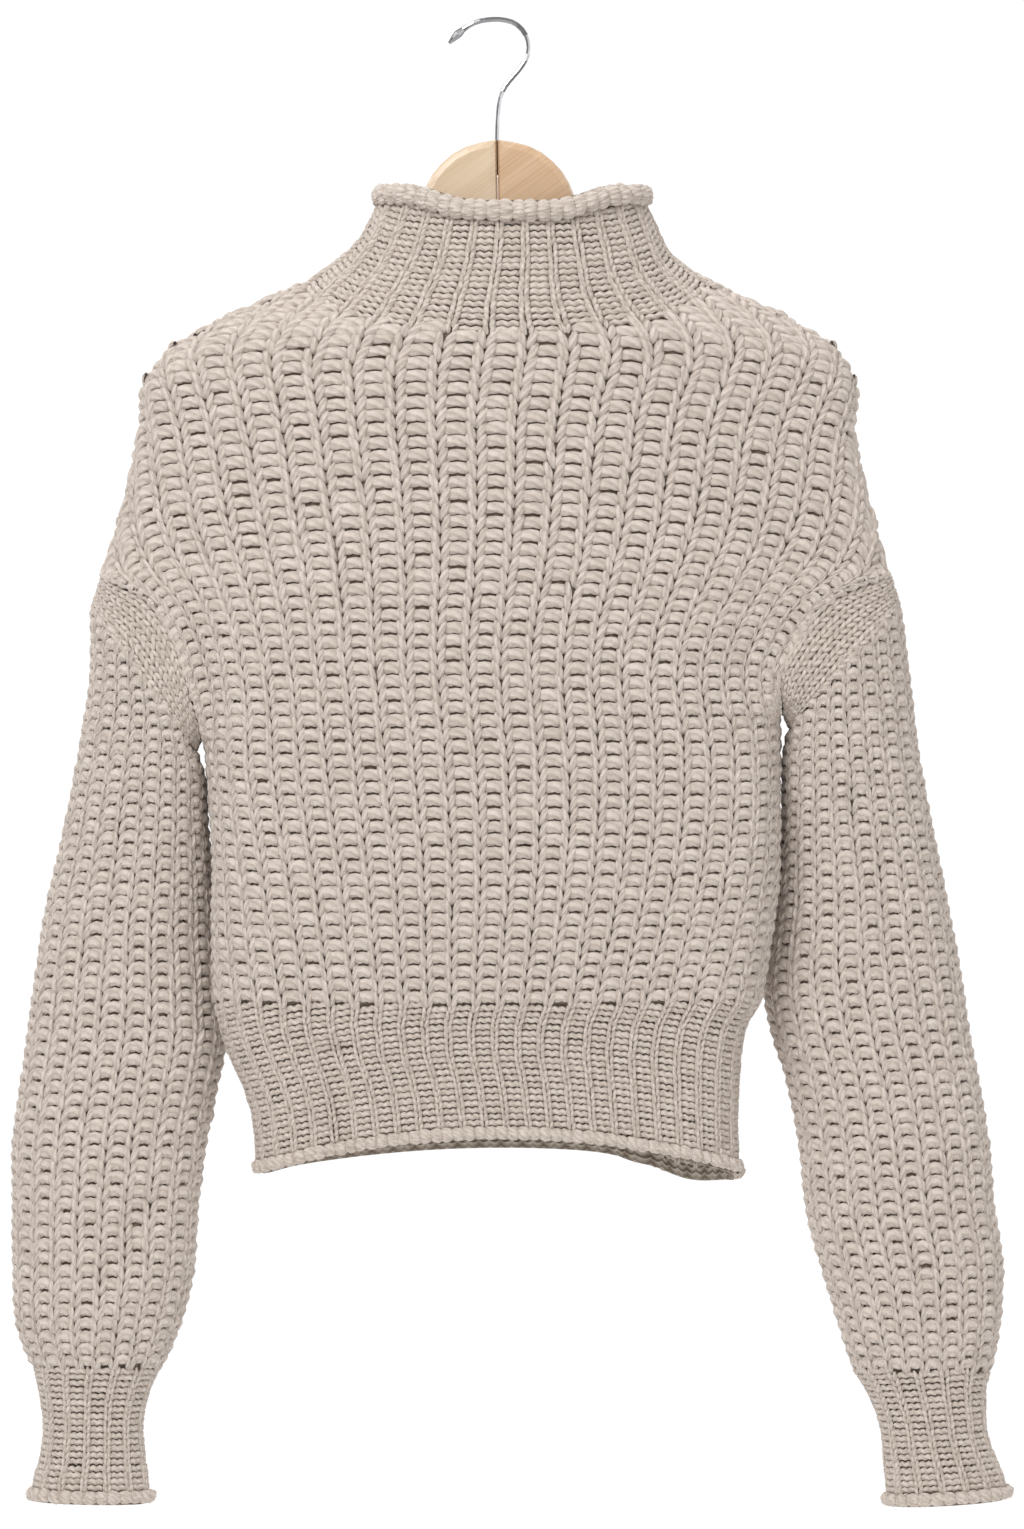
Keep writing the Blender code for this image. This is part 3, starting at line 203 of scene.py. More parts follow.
def eased(knots: Array, values: Array, x: Array) -> Array:
    """Read a table along a curve that never overshoots its rows.

    Args:
        knots: the rows' places, rising.
        values: one row of columns for each knot.
        x: the places to read.

    Returns:
        One row of columns for each place.
    """
    span = np.diff(knots)
    slope = np.diff(values, axis=0) / span[:, None]
    weight_a = (2 * span[1:] + span[:-1])[:, None]
    weight_b = (span[1:] + 2 * span[:-1])[:, None]
    before, after = slope[:-1], slope[1:]
    level = before * after <= 0
    safe_before = np.where(level, 1.0, before)
    safe_after = np.where(level, 1.0, after)
    inner = (weight_a + weight_b) / (weight_a / safe_before + weight_b / safe_after)
    tangent = np.vstack((slope[:1], np.where(level, 0.0, inner), slope[-1:]))
    row = np.clip(np.searchsorted(knots, x, side="right") - 1, 0, len(span) - 1)
    part = ((x - knots[row]) / span[row])[:, None]
    width = span[row][:, None]
    return (
        values[row] * (1 + 2 * part) * (1 - part) ** 2
        + tangent[row] * width * part * (1 - part) ** 2
        + values[row + 1] * part**2 * (3 - 2 * part)
        + tangent[row + 1] * width * part**2 * (part - 1)
    )


def smoothed(lines: Array, sigma: int) -> Array:
    """Return lines of points smoothed along their length, their ends kept.

    Args:
        lines: points along each line.
        sigma: how far each point is mixed with its neighbours, in points.

    Returns:
        The smoothed lines.
    """
    count, reach = lines.shape[1], 3 * sigma
    before = 2 * lines[:, :1] - lines[:, reach:0:-1]
    after = 2 * lines[:, -1:] - lines[:, -2:-reach - 2:-1]
    padded = np.concatenate((before, lines, after), axis=1)
    weights = np.exp(-0.5 * (np.arange(-reach, reach + 1) / sigma) ** 2)
    weights /= weights.sum()
    return sum(weight * padded[:, k:k + count] for k, weight in enumerate(weights))


class Sections:
    """A garment surface that runs through a table of sections."""

    SAMPLES = 120

    def __init__(self, rows: tuple[Row, ...], folds: tuple[Row, ...] = (),
                 lifts: tuple[Row, ...] = (), armhole: bool = False) -> None:
        """Keep the table and space its rows along the middle of the front.

        Args:
            rows: full section rows, or plain ovals.
            folds: soft troughs in the surface.
            lifts: local lifts of the far edge.
            armhole: whether the side stands open above the underarm.
        """
        self.rows = np.array(rows, dtype=float)
        if self.rows.shape[1] == len(OVAL_COLUMNS):
            self.rows = self.from_ovals(self.rows)
        table = dict(zip(SECTION_COLUMNS, self.rows.T))
        middle = np.stack((
            (table["left_x"] + table["right_x"]) / 2,
            (table["left_z"] + table["right_z"]) / 2 + table["front_sag"],
        ), axis=1)
        steps = np.linalg.norm(np.diff(middle, axis=0), axis=1)
        self.place = np.concatenate(([0.0], np.cumsum(steps))) / steps.sum()
        self.folds, self.lifts, self.armhole = folds, lifts, armhole

    @staticmethod
    def from_ovals(ovals: Array) -> Array:
        """Return full section rows for plain ovals."""
        column = dict(zip(OVAL_COLUMNS, ovals.T))
        none, whole = np.zeros(len(ovals)), np.ones(len(ovals))
        return np.stack((
            column["left_x"], column["left_z"], column["right_x"], column["right_z"],
            column["seam_y"], none, none, column["depth"], column["depth"],
            whole, whole, whole / 2, whole, none,
        ), axis=1)

    def at(self, t: Array) -> dict[str, Array]:
        """Return the named columns at places t along the surface."""
        values = eased(self.place, self.rows, np.asarray(t, dtype=float))
        return dict(zip(SECTION_COLUMNS, values.T))

    def opening(self, t: Array) -> Array:
        """Return how deep the armhole stands open at places t."""
        if not self.armhole:
            return np.zeros(len(t))
        low, high = self.place[UNDERARM_ROW], self.place[TIP_ROW]
        part = np.clip((t - low) / (high - low), 0.0, 1.0)
        shape = 1.0 - np.abs(2.0 * part - 1.0) ** ARMHOLE_POWER
        return ARMHOLE_DEPTH * np.maximum(shape, 0.0) ** (1.0 / ARMHOLE_POWER)

    def curves(self, t: Array, side: Side) -> Array:
        """Return one fine line of points across the surface for each place in t."""
        row = {name: value[:, None] for name, value in self.at(t).items()}
        u = -np.cos(np.linspace(0.0, math.pi, self.SAMPLES))[None, :]
        opening = self.opening(np.asarray(t))[:, None]
        front = side is Side.FRONT
        full = (row["front"] if front else row["back"]) - opening
        sag = row["front_sag"] if front else row["back_sag"]
        from_edge = np.minimum((1.0 - np.abs(u)) / row["reach"], 1.0)
        rounded = full * row["round"] * np.sqrt(np.maximum(1.0 - (1.0 - from_edge) ** 2, 0.0))
        crown = full * (1.0 - row["round"]) * (1.0 - np.abs(u) ** CROWN_POWER)
        depth = opening + rounded + crown
        half = (row["right_x"] - row["left_x"]) / 2
        x = (row["left_x"] + row["right_x"]) / 2 + u * half
        z = (row["left_z"] + row["right_z"]) / 2 + u * (row["right_z"] - row["left_z"]) / 2
        z = z + sag * np.maximum(1.0 - u**2, 0.0) ** row["lift"]
        for values in self.lifts:
            lift = dict(zip(LIFT_COLUMNS, values))
            if lift["side"] in (0, side.value):
                bump = np.exp(-(((u - lift["place"]) / lift["width"]) ** 2))
                z = z + lift["height"] * bump * np.asarray(t)[:, None] ** 2
        inside = np.clip(half * (1.0 - np.abs(u)) / 14.0, 0.0, 1.0)
        for values in self.folds:
            fold = dict(zip(FOLD_COLUMNS, values))
            if fold["side"] == side.value:
                depth = depth - fold["depth"] * inside * self.trough(fold, x, z)
        y = row["seam_y"] + side.value * depth
        return np.stack((x, y, z), axis=-1) * MM

    @staticmethod
    def trough(fold: dict[str, float], x: Array, z: Array) -> Array:
        """Return how strongly a fold shapes each point, from 0 to 1."""
        run_x, run_z = fold["x1"] - fold["x0"], fold["z1"] - fold["z0"]
        part = ((x - fold["x0"]) * run_x + (z - fold["z0"]) * run_z) / (run_x**2 + run_z**2)
        part = np.clip(part, 0.0, 1.0)
        away = np.hypot(x - fold["x0"] - part * run_x, z - fold["z0"] - part * run_z)
        return np.exp(-((away / fold["width"]) ** 2))

    def paths(self, s: Array, t: Array, side: Side) -> Array:
        """Follow many ribs along the surface.

        Args:
            s: where each rib starts across the near edge, from -1 to 1.
            t: rising places along the surface.
            side: the face the ribs lie on.

        Returns:
            Points in metres, one line of them for each rib.
        """
        lines = self.curves(t, side)
        table = self.at(t)
        out = np.empty((len(s), len(t), 3))
        for j, line in enumerate(lines):
            opened = np.clip(table["fan"][j] * s, -1.0, 1.0)
            placed = opened * (1.0 + table["spread"][j] * (1.0 - opened**2))
            steps = np.linalg.norm(np.diff(line, axis=0), axis=1)
            length = np.concatenate(([0.0], np.cumsum(steps)))
            wanted = (placed + 1.0) / 2.0 * length[-1]
            for axis in range(3):
                out[:, j, axis] = np.interp(wanted, length, line[:, axis])
        return out

    def ends(self, s: Array) -> Array:
        """Return the place where each rib meets the top edge."""
        if not self.armhole:
            return np.ones(len(s))
        fine = np.linspace(self.place[TIP_ROW], 1.0, 400)
        fan = self.at(fine)["fan"]
        return np.interp(1.0 / np.maximum(np.abs(s), 1.0 / BODY_FAN), fan, fine)


@dataclass
class KnitGrid:
    """A fine net of cloth points: ribs across, stitch rows along from the first course."""

    places: Array
    normals: Array
    rows: Array
    column_step: float
    row_step: float
    wrap_columns: bool = False
    wrap_rows: bool = False

    @classmethod
    def from_paths(cls, paths: Array, ends: Array, pitch: float, column_step: float,
                   wrap: bool, centre: Array, row_step: float = 0.5) -> "KnitGrid":
        """Space each rib's points evenly in stitch rows.

        Args:
            paths: points along each rib, from the first course on.
            ends: the number of the last point that each rib keeps, with its fraction.
            pitch: the height of a stitch row, in metres.
            column_step: how many ribs apart the paths are.
            wrap: whether the last path lies beside the first.
            centre: a point inside the cloth, for the side its normals face.
            row_step: how many stitch rows apart the net's points are.

        Returns:
            The net, with straight run-outs past each rib's end.
        """
        lengths = np.concatenate((
            np.zeros((len(paths), 1)),
            np.cumsum(np.linalg.norm(np.diff(paths, axis=1), axis=2), axis=1),
        ), axis=1)
        index = np.arange(paths.shape[1])
        total = np.array([np.interp(e, index, line) for e, line in zip(ends, lengths)])
        count = int(math.ceil(total.max() / pitch / row_step)) + 4
        wanted = np.arange(count) * pitch * row_step
        places = np.empty((len(paths), count, 3))
        for i, line in enumerate(paths):
            for axis in range(3):
                places[i, :, axis] = np.interp(wanted, lengths[i], line[:, axis])
            last = np.array([np.interp(total[i], lengths[i], line[:, a]) for a in range(3)])
            near = np.array([
                np.interp(total[i] - 2 * pitch, lengths[i], line[:, a]) for a in range(3)
            ])
            beyond = wanted > total[i]
            run_out = (last - near) / (2 * pitch)
            places[i, beyond] = last + (wanted[beyond] - total[i])[:, None] * run_out
        return cls.of_places(places, total / pitch, column_step, row_step, wrap, False, centre)

    @classmethod
    def of_places(cls, places: Array, rows: Array, column_step: float, row_step: float,
                  wrap_columns: bool, wrap_rows: bool, centre: Array) -> "KnitGrid":
        """Return a net with normals that face away from the centre."""
        across = cls.slopes(places, 0, wrap_columns)
        onward = cls.slopes(places, 1, wrap_rows)
        normals = unit(np.cross(across, onward))
        if np.sum(normals * (places - centre)) < 0:
            normals = -normals
        return cls(places, normals, rows, column_step, row_step, wrap_columns, wrap_rows)

    @staticmethod
    def slopes(places: Array, axis: int, wrap: bool) -> Array:
        """Return the steps between neighbours along one axis of the net."""
        if wrap:
            return np.roll(places, -1, axis=axis) - np.roll(places, 1, axis=axis)
        return np.gradient(places, axis=axis)

    def read(self, column: Array, row: Array) -> tuple[Array, Array]:
        """Read the cloth at ribs and stitch rows, between the net's points too.

        Args:
            column: rib numbers.
            row: stitch rows, the same shape.

        Returns:
            The points, and the normals there.
        """
        i, part_i = self.split(column / self.column_step, self.places.shape[0], self.wrap_columns)
        j, part_j = self.split(row / self.row_step, self.places.shape[1], self.wrap_rows)
        i_next = (i + 1) % self.places.shape[0]
        j_next = (j + 1) % self.places.shape[1]
        a, b = part_i[..., None], part_j[..., None]
        out = []
        for values in (self.places, self.normals):
            near = values[i, j] * (1 - a) + values[i_next, j] * a
            far = values[i, j_next] * (1 - a) + values[i_next, j_next] * a
            out.append(near * (1 - b) + far * b)
        return out[0], unit(out[1])

    @staticmethod
    def split(value: Array, count: int, wrap: bool) -> tuple[Array, Array]:
        """Return whole steps and the part left over, run out or wrapped at the ends."""
        if wrap:
            whole = np.floor(value).astype(int)
            return whole % count, value - whole
        whole = np.clip(np.floor(value).astype(int), 0, count - 2)
        return whole, value - whole

    def last_row(self, column: Array) -> Array:
        """Return the last stitch row of each rib."""
        place = np.asarray(column) / self.column_step
        if self.wrap_columns:
            place = place % len(self.rows)
            around = np.append(self.rows, self.rows[0])
            return np.interp(place, np.arange(len(around)), around)
        return np.interp(place, np.arange(len(self.rows)), self.rows)

    def width(self, column: Array, row: Array) -> Array:
        """Return how wide one rib is there, in metres."""
        left, _ = self.read(column - 0.25, row)
        right, _ = self.read(column + 0.25, row)
        return np.linalg.norm(right - left, axis=-1) * 2.0


@dataclass(frozen=True)
class Stitch:
    """One length of yarn in a stitch: across and along in ribs and rows, the rest in mm.

    Attributes:
        line: points of across, along, height, half width and half thickness.
        sides: how many strips go over the yarn.
    """

    line: tuple[Row, ...]
    sides: int = 4

    def mirrored(self) -> "Stitch":
        """Return the same stitch leaning the other way."""
        turned = tuple((-row[0],) + row[1:] for row in self.line)
        return Stitch(turned[::-1], self.sides)


class YarnMesh:
    """Gathers lengths of yarn on a net of cloth and turns them into one mesh."""

    OPEN_TURN = math.radians(22)
    STRAY_ACROSS, STRAY_ALONG, STRAY_UP, STRAY_SIZE = 0.014, 0.032, 0.22, 0.05

    def __init__(self, name: str, seed: int) -> None:
        """Start with no yarn.

        Args:
            name: the piece's name.
            seed: fixes the small irregularities.
        """
        self.name = name
        self.rng = np.random.default_rng(seed)
        self.points: list[Array] = []
        self.faces: list[Array] = []
        self.coords: list[Array] = []
        self.tints: list[Array] = []
        self.painted_shade_depths: list[Array] = []
        self.count = 0

    def lay(self, grid: KnitGrid, stitch: Stitch, column: Array, row: Array,
            scale: Array, lift: float = 0.0, side: float = 1.0, loose: float = 1.0,
            reach: float = 6.0) -> None:
        """Lay one stitch at many places.

        Args:
            grid: the cloth it lies on.
            stitch: the yarn's line.
            column: the rib at the middle of each stitch.
            row: the stitch row of each.
            scale: thickness factor of each.
            lift: height added to all, in mm.
            side: 1 outside, -1 on the inner face.
            loose: how far stitches stray.
            reach: how far under the surface yarn lies in full painted shade, in mm.
        """
        count = len(column)
        if count == 0:
            return
        table = np.array(stitch.line)
        stray = self.rng.normal(0.0, 1.0, (count, 5))
        across = column[:, None] + table[:, 0] + self.STRAY_ACROSS * loose * stray[:, :1]
        along = row[:, None] + table[:, 1] + self.STRAY_ALONG * loose * stray[:, 1:2]
        height = (table[:, 2] + lift + self.STRAY_UP * loose * stray[:, 2:3]) * MM
        surface, normal = grid.read(across, along)
        normal = normal * side
        centre = surface + normal * height[..., None]
        tangent = unit(np.gradient(centre, axis=1))
        beside = unit(np.cross(tangent, normal))
        over = np.cross(beside, tangent)
        swell = scale[:, None] * (1.0 + self.STRAY_SIZE * loose * stray[:, 3:4])
        half_width = table[:, 3] * swell * MM
        half_height = table[:, 4] * swell * MM
        turn = np.linspace(-self.OPEN_TURN, math.pi + self.OPEN_TURN, stitch.sides + 1)
        ring = (
            centre[:, :, None]
            + beside[:, :, None] * (half_width[..., None] * np.cos(turn))[..., None]
            + over[:, :, None] * (half_height[..., None] * np.sin(turn))[..., None]
        )
        points, strips = table.shape[0], stitch.sides
        index = np.arange(count * points * (strips + 1)).reshape(count, points, strips + 1)
        index = index + self.count
        faces = np.stack((
            index[:, :-1, :-1], index[:, :-1, 1:], index[:, 1:, 1:], index[:, 1:, :-1],
        ), axis=-1)
        run = np.linalg.norm(np.diff(centre, axis=1), axis=2)
        run = np.concatenate((np.zeros((count, 1)), np.cumsum(run, axis=1)), axis=1) / MM
        coords = np.empty(ring.shape[:3] + (2,))
        coords[..., 0] = run[..., None] + 37.0 * np.abs(stray[:, 4])[:, None, None]
        coords[..., 1] = np.linspace(0.0, 1.0, strips + 1)
        tint = np.broadcast_to(stray[:, 4][:, None, None], ring.shape[:3])
        # painted shade: each point's depth under the cloth's surface, as a share of reach, sets
        # how dark its colour is painted
        top = height[..., None] / MM + half_height[..., None] / MM * np.sin(turn)
        self.points.append(ring.reshape(-1, 3))
        self.faces.append(faces.reshape(-1, 4))
        self.coords.append(coords.reshape(-1, 2))
        self.tints.append(tint.reshape(-1))
        self.painted_shade_depths.append(np.clip(-top / reach, 0.0, 1.0).reshape(-1))
        self.count += ring.shape[0] * ring.shape[1] * ring.shape[2]

    def build(self) -> bpy.types.Object:
        """Return the mesh object that holds all the yarn laid so far."""
        points = np.concatenate(self.points)
        faces = np.concatenate(self.faces)
        coords = np.concatenate(self.coords)
        piece = mesh_object(self.name, points, faces, coords[faces.reshape(-1)])
        add_values(piece, "tint", np.concatenate(self.tints))
        add_values(piece, "depth", np.concatenate(self.painted_shade_depths))
        LOG.info("%s: %d faces", self.name, 2 * len(faces))
        return piece


def mesh_object(name: str, points: Array, faces: Array, coords: Array) -> bpy.types.Object:
    """Make a smooth mesh of four-sided faces.

    Args:
        name: the piece's name.
        points: the vertices, in metres.
        faces: four vertex numbers each.
        coords: one pair for each face corner.

    Returns:
        The linked object.
    """
    mesh = bpy.data.meshes.new(name)
    mesh.vertices.add(len(points))
    mesh.vertices.foreach_set("co", points.astype(np.float32).ravel())
    mesh.loops.add(faces.size)
    mesh.loops.foreach_set("vertex_index", faces.astype(np.int32).ravel())
    mesh.polygons.add(len(faces))
    mesh.polygons.foreach_set("loop_start", np.arange(0, faces.size, 4, dtype=np.int32))
    mesh.update(calc_edges=True)
    layer = mesh.uv_layers.new(name="UVMap")
    layer.data.foreach_set("uv", coords.astype(np.float32).ravel())
    mesh.shade_smooth()
    piece = bpy.data.objects.new(name, mesh)
    bpy.context.scene.collection.objects.link(piece)
    return piece


def add_values(piece: bpy.types.Object, name: str, values: Array) -> None:
    """Store one number for each vertex of a mesh."""
    layer = piece.data.attributes.new(name, "FLOAT", "POINT")
    layer.data.foreach_set("value", values.astype(np.float32))


class NodeTree:
    """Short ways to add and join shader nodes."""

    def __init__(self, tree: bpy.types.NodeTree) -> None:
        """Work on one tree."""
        self.tree = tree

    def add(self, kind: str, values: dict | None = None, **fields: object) -> bpy.types.Node:
        """Add a node, set its fields, and set or join its inputs.

        Args:
            kind: the node's type name.
            values: an output socket or a constant for each named or numbered input.
            **fields: the node's own settings.

        Returns:
            The new node.
        """
        node = self.tree.nodes.new(kind)
        for key, value in fields.items():
            setattr(node, key, value)
        for key, value in (values or {}).items():
            if isinstance(value, bpy.types.NodeSocket):
                self.tree.links.new(value, node.inputs[key])
            else:
                node.inputs[key].default_value = value
        return node

    def math(self, operation: str, a: object, b: object = 0.0) -> bpy.types.NodeSocket:
        """Return the result of one sum on two numbers or sockets."""
        return self.add("ShaderNodeMath", {0: a, 1: b}, operation=operation).outputs[0]

    def mix(self, factor: object, a: object, b: object,
            blend: str = "MIX") -> bpy.types.NodeSocket:
        """Return a blend of two colours."""
        node = self.add("ShaderNodeMix", data_type="RGBA", blend_type=blend)
        for socket, value in ((node.inputs[0], factor), (node.inputs[6], a), (node.inputs[7], b)):
            if isinstance(value, bpy.types.NodeSocket):
                self.tree.links.new(value, socket)
            else:
                socket.default_value = value
        return node.outputs[2]

    def ramp(self, factor: object, low: float, high: float) -> bpy.types.NodeSocket:
        """Return a factor stretched between two values and kept from 0 to 1."""
        node = self.add("ShaderNodeMapRange", {0: factor, 1: low, 2: high}, clamp=True)
        return node.outputs[0]


def new_group(name: str, inputs: tuple[tuple[str, str, object], ...],
              outputs: tuple[tuple[str, str], ...]) -> tuple[bpy.types.NodeTree, NodeTree]:
    """Start a shader node group with its sockets.

    Args:
        name: the group's name.
        inputs: name, kind and default of each.
        outputs: name and kind of each.

    Returns:
        The group and a helper that works on it.
    """
    group = bpy.data.node_groups.new(name, "ShaderNodeTree")
    for label, kind, default in inputs:
        socket = group.interface.new_socket(label, in_out="INPUT", socket_type=kind)
        socket.default_value = default
    for label, kind in outputs:
        group.interface.new_socket(label, in_out="OUTPUT", socket_type=kind)
    return group, NodeTree(group)


NUMBER, COLOUR = "NodeSocketFloat", "NodeSocketColor"


def spun_yarn_group() -> bpy.types.NodeTree:
    """Return the group for plies and loose fibres along a length of yarn: a bump height, a painted
    shade mask for the grooves between plies, and random flecks.
    """
    group, nodes = new_group(
        "spun_yarn",
        (("Plies", NUMBER, 3.0), ("Twist", NUMBER, 0.12), ("Fibre", NUMBER, 1300.0)),
        (("Height", NUMBER), ("Groove", NUMBER), ("Fleck", NUMBER)),
    )
    given = nodes.add("NodeGroupInput")
    coord = nodes.add("ShaderNodeTexCoord")
    split = nodes.add("ShaderNodeSeparateXYZ", {0: coord.outputs["UV"]})
    along = nodes.math("MULTIPLY", split.outputs[0], given.outputs["Twist"])
    around = nodes.math("MULTIPLY", split.outputs[1], given.outputs["Plies"])
    phase = nodes.math("MULTIPLY", nodes.math("ADD", along, around), 2.0 * math.pi)
    wave = nodes.math("MULTIPLY_ADD", nodes.math("SINE", phase), 0.5)
    wave.node.inputs[2].default_value = 0.5
    fibres = nodes.add(
        "ShaderNodeTexNoise",
        {"Vector": coord.outputs["Object"], "Scale": given.outputs["Fibre"], "Detail": 5.0},
    )
    fleck = nodes.add(
        "ShaderNodeTexNoise", {"Vector": coord.outputs["Object"], "Scale": 260.0, "Detail": 2.0},
    )
    rough = nodes.math("MULTIPLY", fibres.outputs[0], 0.9)
    height = nodes.math("ADD", nodes.math("MULTIPLY", wave, 0.55), rough)
    # painted shade: darkest in the grooves between plies, where the ply wave is low
    painted_groove_shade = nodes.math("SUBTRACT", 1.0, nodes.ramp(wave, 0.0, 0.5))
    nodes.add("NodeGroupOutput", {"Height": height, "Groove": painted_groove_shade, "Fleck": fleck.outputs[0]})
    return group


def wood_grain_group() -> bpy.types.NodeTree:
    """Return the group for straight fine grain that slopes across the wood."""
    group, nodes = new_group(
        "wood_grain",
        (("Pale", COLOUR, (1, 1, 1, 1)), ("Dark", COLOUR, (0, 0, 0, 1)), ("Slope", NUMBER, 0.5)),
        (("Colour", COLOUR), ("Height", NUMBER)),
    )
    given = nodes.add("NodeGroupInput")
    coord = nodes.add("ShaderNodeTexCoord")
    turn = nodes.add("ShaderNodeCombineXYZ", {1: given.outputs["Slope"]})
    turned = nodes.add(
        "ShaderNodeVectorRotate", {"Vector": coord.outputs["Object"], "Rotation": turn.outputs[0]},
        rotation_type="EULER_XYZ",
    )
    long_lines = nodes.add(
        "ShaderNodeMapping", {"Vector": turned.outputs[0], "Scale": (9.0, 200.0, 640.0)})
    streak = nodes.add(
        "ShaderNodeTexNoise", {"Vector": long_lines.outputs[0], "Scale": 1.0, "Detail": 5.0})
    broad_lines = nodes.add(
        "ShaderNodeMapping", {"Vector": turned.outputs[0], "Scale": (6.0, 40.0, 70.0)})
    broad = nodes.add(
        "ShaderNodeTexNoise", {"Vector": broad_lines.outputs[0], "Scale": 1.0, "Detail": 3.0})
    fine = nodes.ramp(streak.outputs[0], 0.42, 0.72)
    wide = nodes.ramp(broad.outputs[0], 0.3, 0.7)
    factor = nodes.math(
        "ADD", nodes.math("MULTIPLY", fine, 0.55), nodes.math("MULTIPLY", wide, 0.4))
    colour = nodes.mix(factor, given.outputs["Pale"], given.outputs["Dark"])
    nodes.add("NodeGroupOutput", {"Colour": colour, "Height": fine})
    return group


def start_material(name: str) -> tuple[NodeTree, bpy.types.Node, bpy.types.Material]:
    """Return a new material with a helper for its nodes and its shader."""
    material = bpy.data.materials.new(name)
    material.use_nodes = True
    return NodeTree(material.node_tree), material.node_tree.nodes["Principled BSDF"], material


def finish_shader(nodes: NodeTree, shader: bpy.types.Node, values: dict) -> None:
    """Set or join a shader's inputs.

    Args:
        nodes: the helper of the shader's tree.
        shader: the shader.
        values: an output socket or a constant for each named input.
    """
    for name, value in values.items():
        if isinstance(value, bpy.types.NodeSocket):
            nodes.tree.links.new(value, shader.inputs[name])
        else:
            shader.inputs[name].default_value = value


@dataclass(frozen=True)
class YarnFinish:
    """Spun wool: its colours, plies and how its stitches catch light, with painted shade in the
    ply grooves and on yarn that lies deep among the stitches.
    """

    name: str
    # light and shade are the wool's two tones, mixed by random tone, flecks and painted shade in
    # the ply grooves; deep is painted shade for yarn that lies deep among the stitches
    light: Row = (0.755, 0.665, 0.598)
    shade: Row = (0.535, 0.452, 0.388)
    deep: Row = (0.300, 0.222, 0.168)
    plies: float = 3.0
    twist: float = 0.10
    bump: float = 0.0016

    def make(self) -> bpy.types.Material:
        """Return the material."""
        nodes, shader, material = start_material(self.name)
        yarn = nodes.add("ShaderNodeGroup", node_tree=group_named("spun_yarn", spun_yarn_group))
        yarn.inputs["Plies"].default_value = self.plies
        yarn.inputs["Twist"].default_value = self.twist
        tint = nodes.add("ShaderNodeAttribute", attribute_name="tint")
        depth = nodes.add("ShaderNodeAttribute", attribute_name="depth")
        uneven = nodes.math("MULTIPLY_ADD", tint.outputs["Fac"], 0.09)
        uneven.node.inputs[2].default_value = 0.12
        # painted shade in the ply grooves
        painted_groove_shade = nodes.math("MULTIPLY", yarn.outputs["Groove"], 0.62)
        fleck = nodes.math("MULTIPLY", nodes.ramp(yarn.outputs["Fleck"], 0.38, 0.70), 0.42)
        factor = nodes.math("ADD", nodes.math("ADD", uneven, painted_groove_shade), fleck)
        body = nodes.mix(nodes.ramp(factor, 0.0, 1.0), (*self.light, 1), (*self.shade, 1))
        # painted shade: the deeper the yarn lies among the stitches, the nearer its colour comes
        # to deep
        painted_deep_shade = nodes.math("POWER", nodes.ramp(depth.outputs["Fac"], 0.32, 1.0), 1.3)
        colour = nodes.mix(nodes.math("MULTIPLY", painted_deep_shade, 0.92), body, (*self.deep, 1))
        bump = nodes.add(
            "ShaderNodeBump",
            {"Height": yarn.outputs["Height"], "Strength": 0.8, "Distance": self.bump},
        )
        finish_shader(nodes, shader, {
            "Base Color": colour, "Normal": bump.outputs[0], "Roughness": 0.92,
            "Specular IOR Level": 0.2, "Sheen Weight": 0.25, "Sheen Roughness": 0.55,
        })
        return material


@dataclass(frozen=True)
class GroundFinish:
    """The cloth under the stitches, with rib columns and rows worked into it and painted shade in
    their hollows.
    """

    name: str
    pale: Row = (0.44, 0.365, 0.300)
    dark: Row = (0.19, 0.140, 0.105)
    bump: float = 0.0016

    def make(self) -> bpy.types.Material:
        """Return the material."""
        nodes, shader, material = start_material(self.name)
        coord = nodes.add("ShaderNodeTexCoord")
        split = nodes.add("ShaderNodeSeparateXYZ", {0: coord.outputs["UV"]})
        column = nodes.math("MULTIPLY", split.outputs[0], 2.0 * math.pi)
        ribs = nodes.math("COSINE", column)
        lean = nodes.math("MULTIPLY", nodes.math("ABSOLUTE", nodes.math("SINE", column)), 0.45)
        row = nodes.math("MULTIPLY", nodes.math("ADD", split.outputs[1], lean), 2.0 * math.pi)
        loops = nodes.math("SINE", row)
        shape = nodes.math(
            "ADD", nodes.math("MULTIPLY", ribs, 0.5), nodes.math("MULTIPLY", loops, 0.5))
        noise = nodes.add(
            "ShaderNodeTexNoise",
            {"Vector": coord.outputs["Object"], "Scale": 700.0, "Detail": 3.0})
        height = nodes.math("ADD", shape, nodes.math("MULTIPLY", noise.outputs[0], 0.4))
        # painted shade: the lower the knit's height, the nearer its colour comes to dark
        colour = nodes.mix(nodes.ramp(height, -0.6, 0.9), (*self.dark, 1), (*self.pale, 1))
        bump = nodes.add(
            "ShaderNodeBump", {"Height": height, "Strength": 0.9, "Distance": self.bump})
        finish_shader(nodes, shader, {
            "Base Color": colour, "Normal": bump.outputs[0], "Roughness": 0.95,
            "Specular IOR Level": 0.1,
        })
        return material


@dataclass(frozen=True)
class WoodFinish:
    """Varnished beech, its grain sloping up towards the wearer's left."""

    name: str
    pale: Row
    dark: Row
    slope: float

    def make(self) -> bpy.types.Material:
        """Return the material."""
        nodes, shader, material = start_material(self.name)
        grain = nodes.add("ShaderNodeGroup", node_tree=group_named("wood_grain", wood_grain_group))
        grain.inputs["Pale"].default_value = (*self.pale, 1)
        grain.inputs["Dark"].default_value = (*self.dark, 1)
        grain.inputs["Slope"].default_value = self.slope
        bump = nodes.add(
            "ShaderNodeBump",
            {"Height": grain.outputs["Height"], "Strength": 0.25, "Distance": 0.0003},
        )
        finish_shader(nodes, shader, {
            "Base Color": grain.outputs["Colour"], "Normal": bump.outputs[0],
            "Roughness": 0.42, "Coat Weight": 0.25, "Coat Roughness": 0.25,
        })
        return material


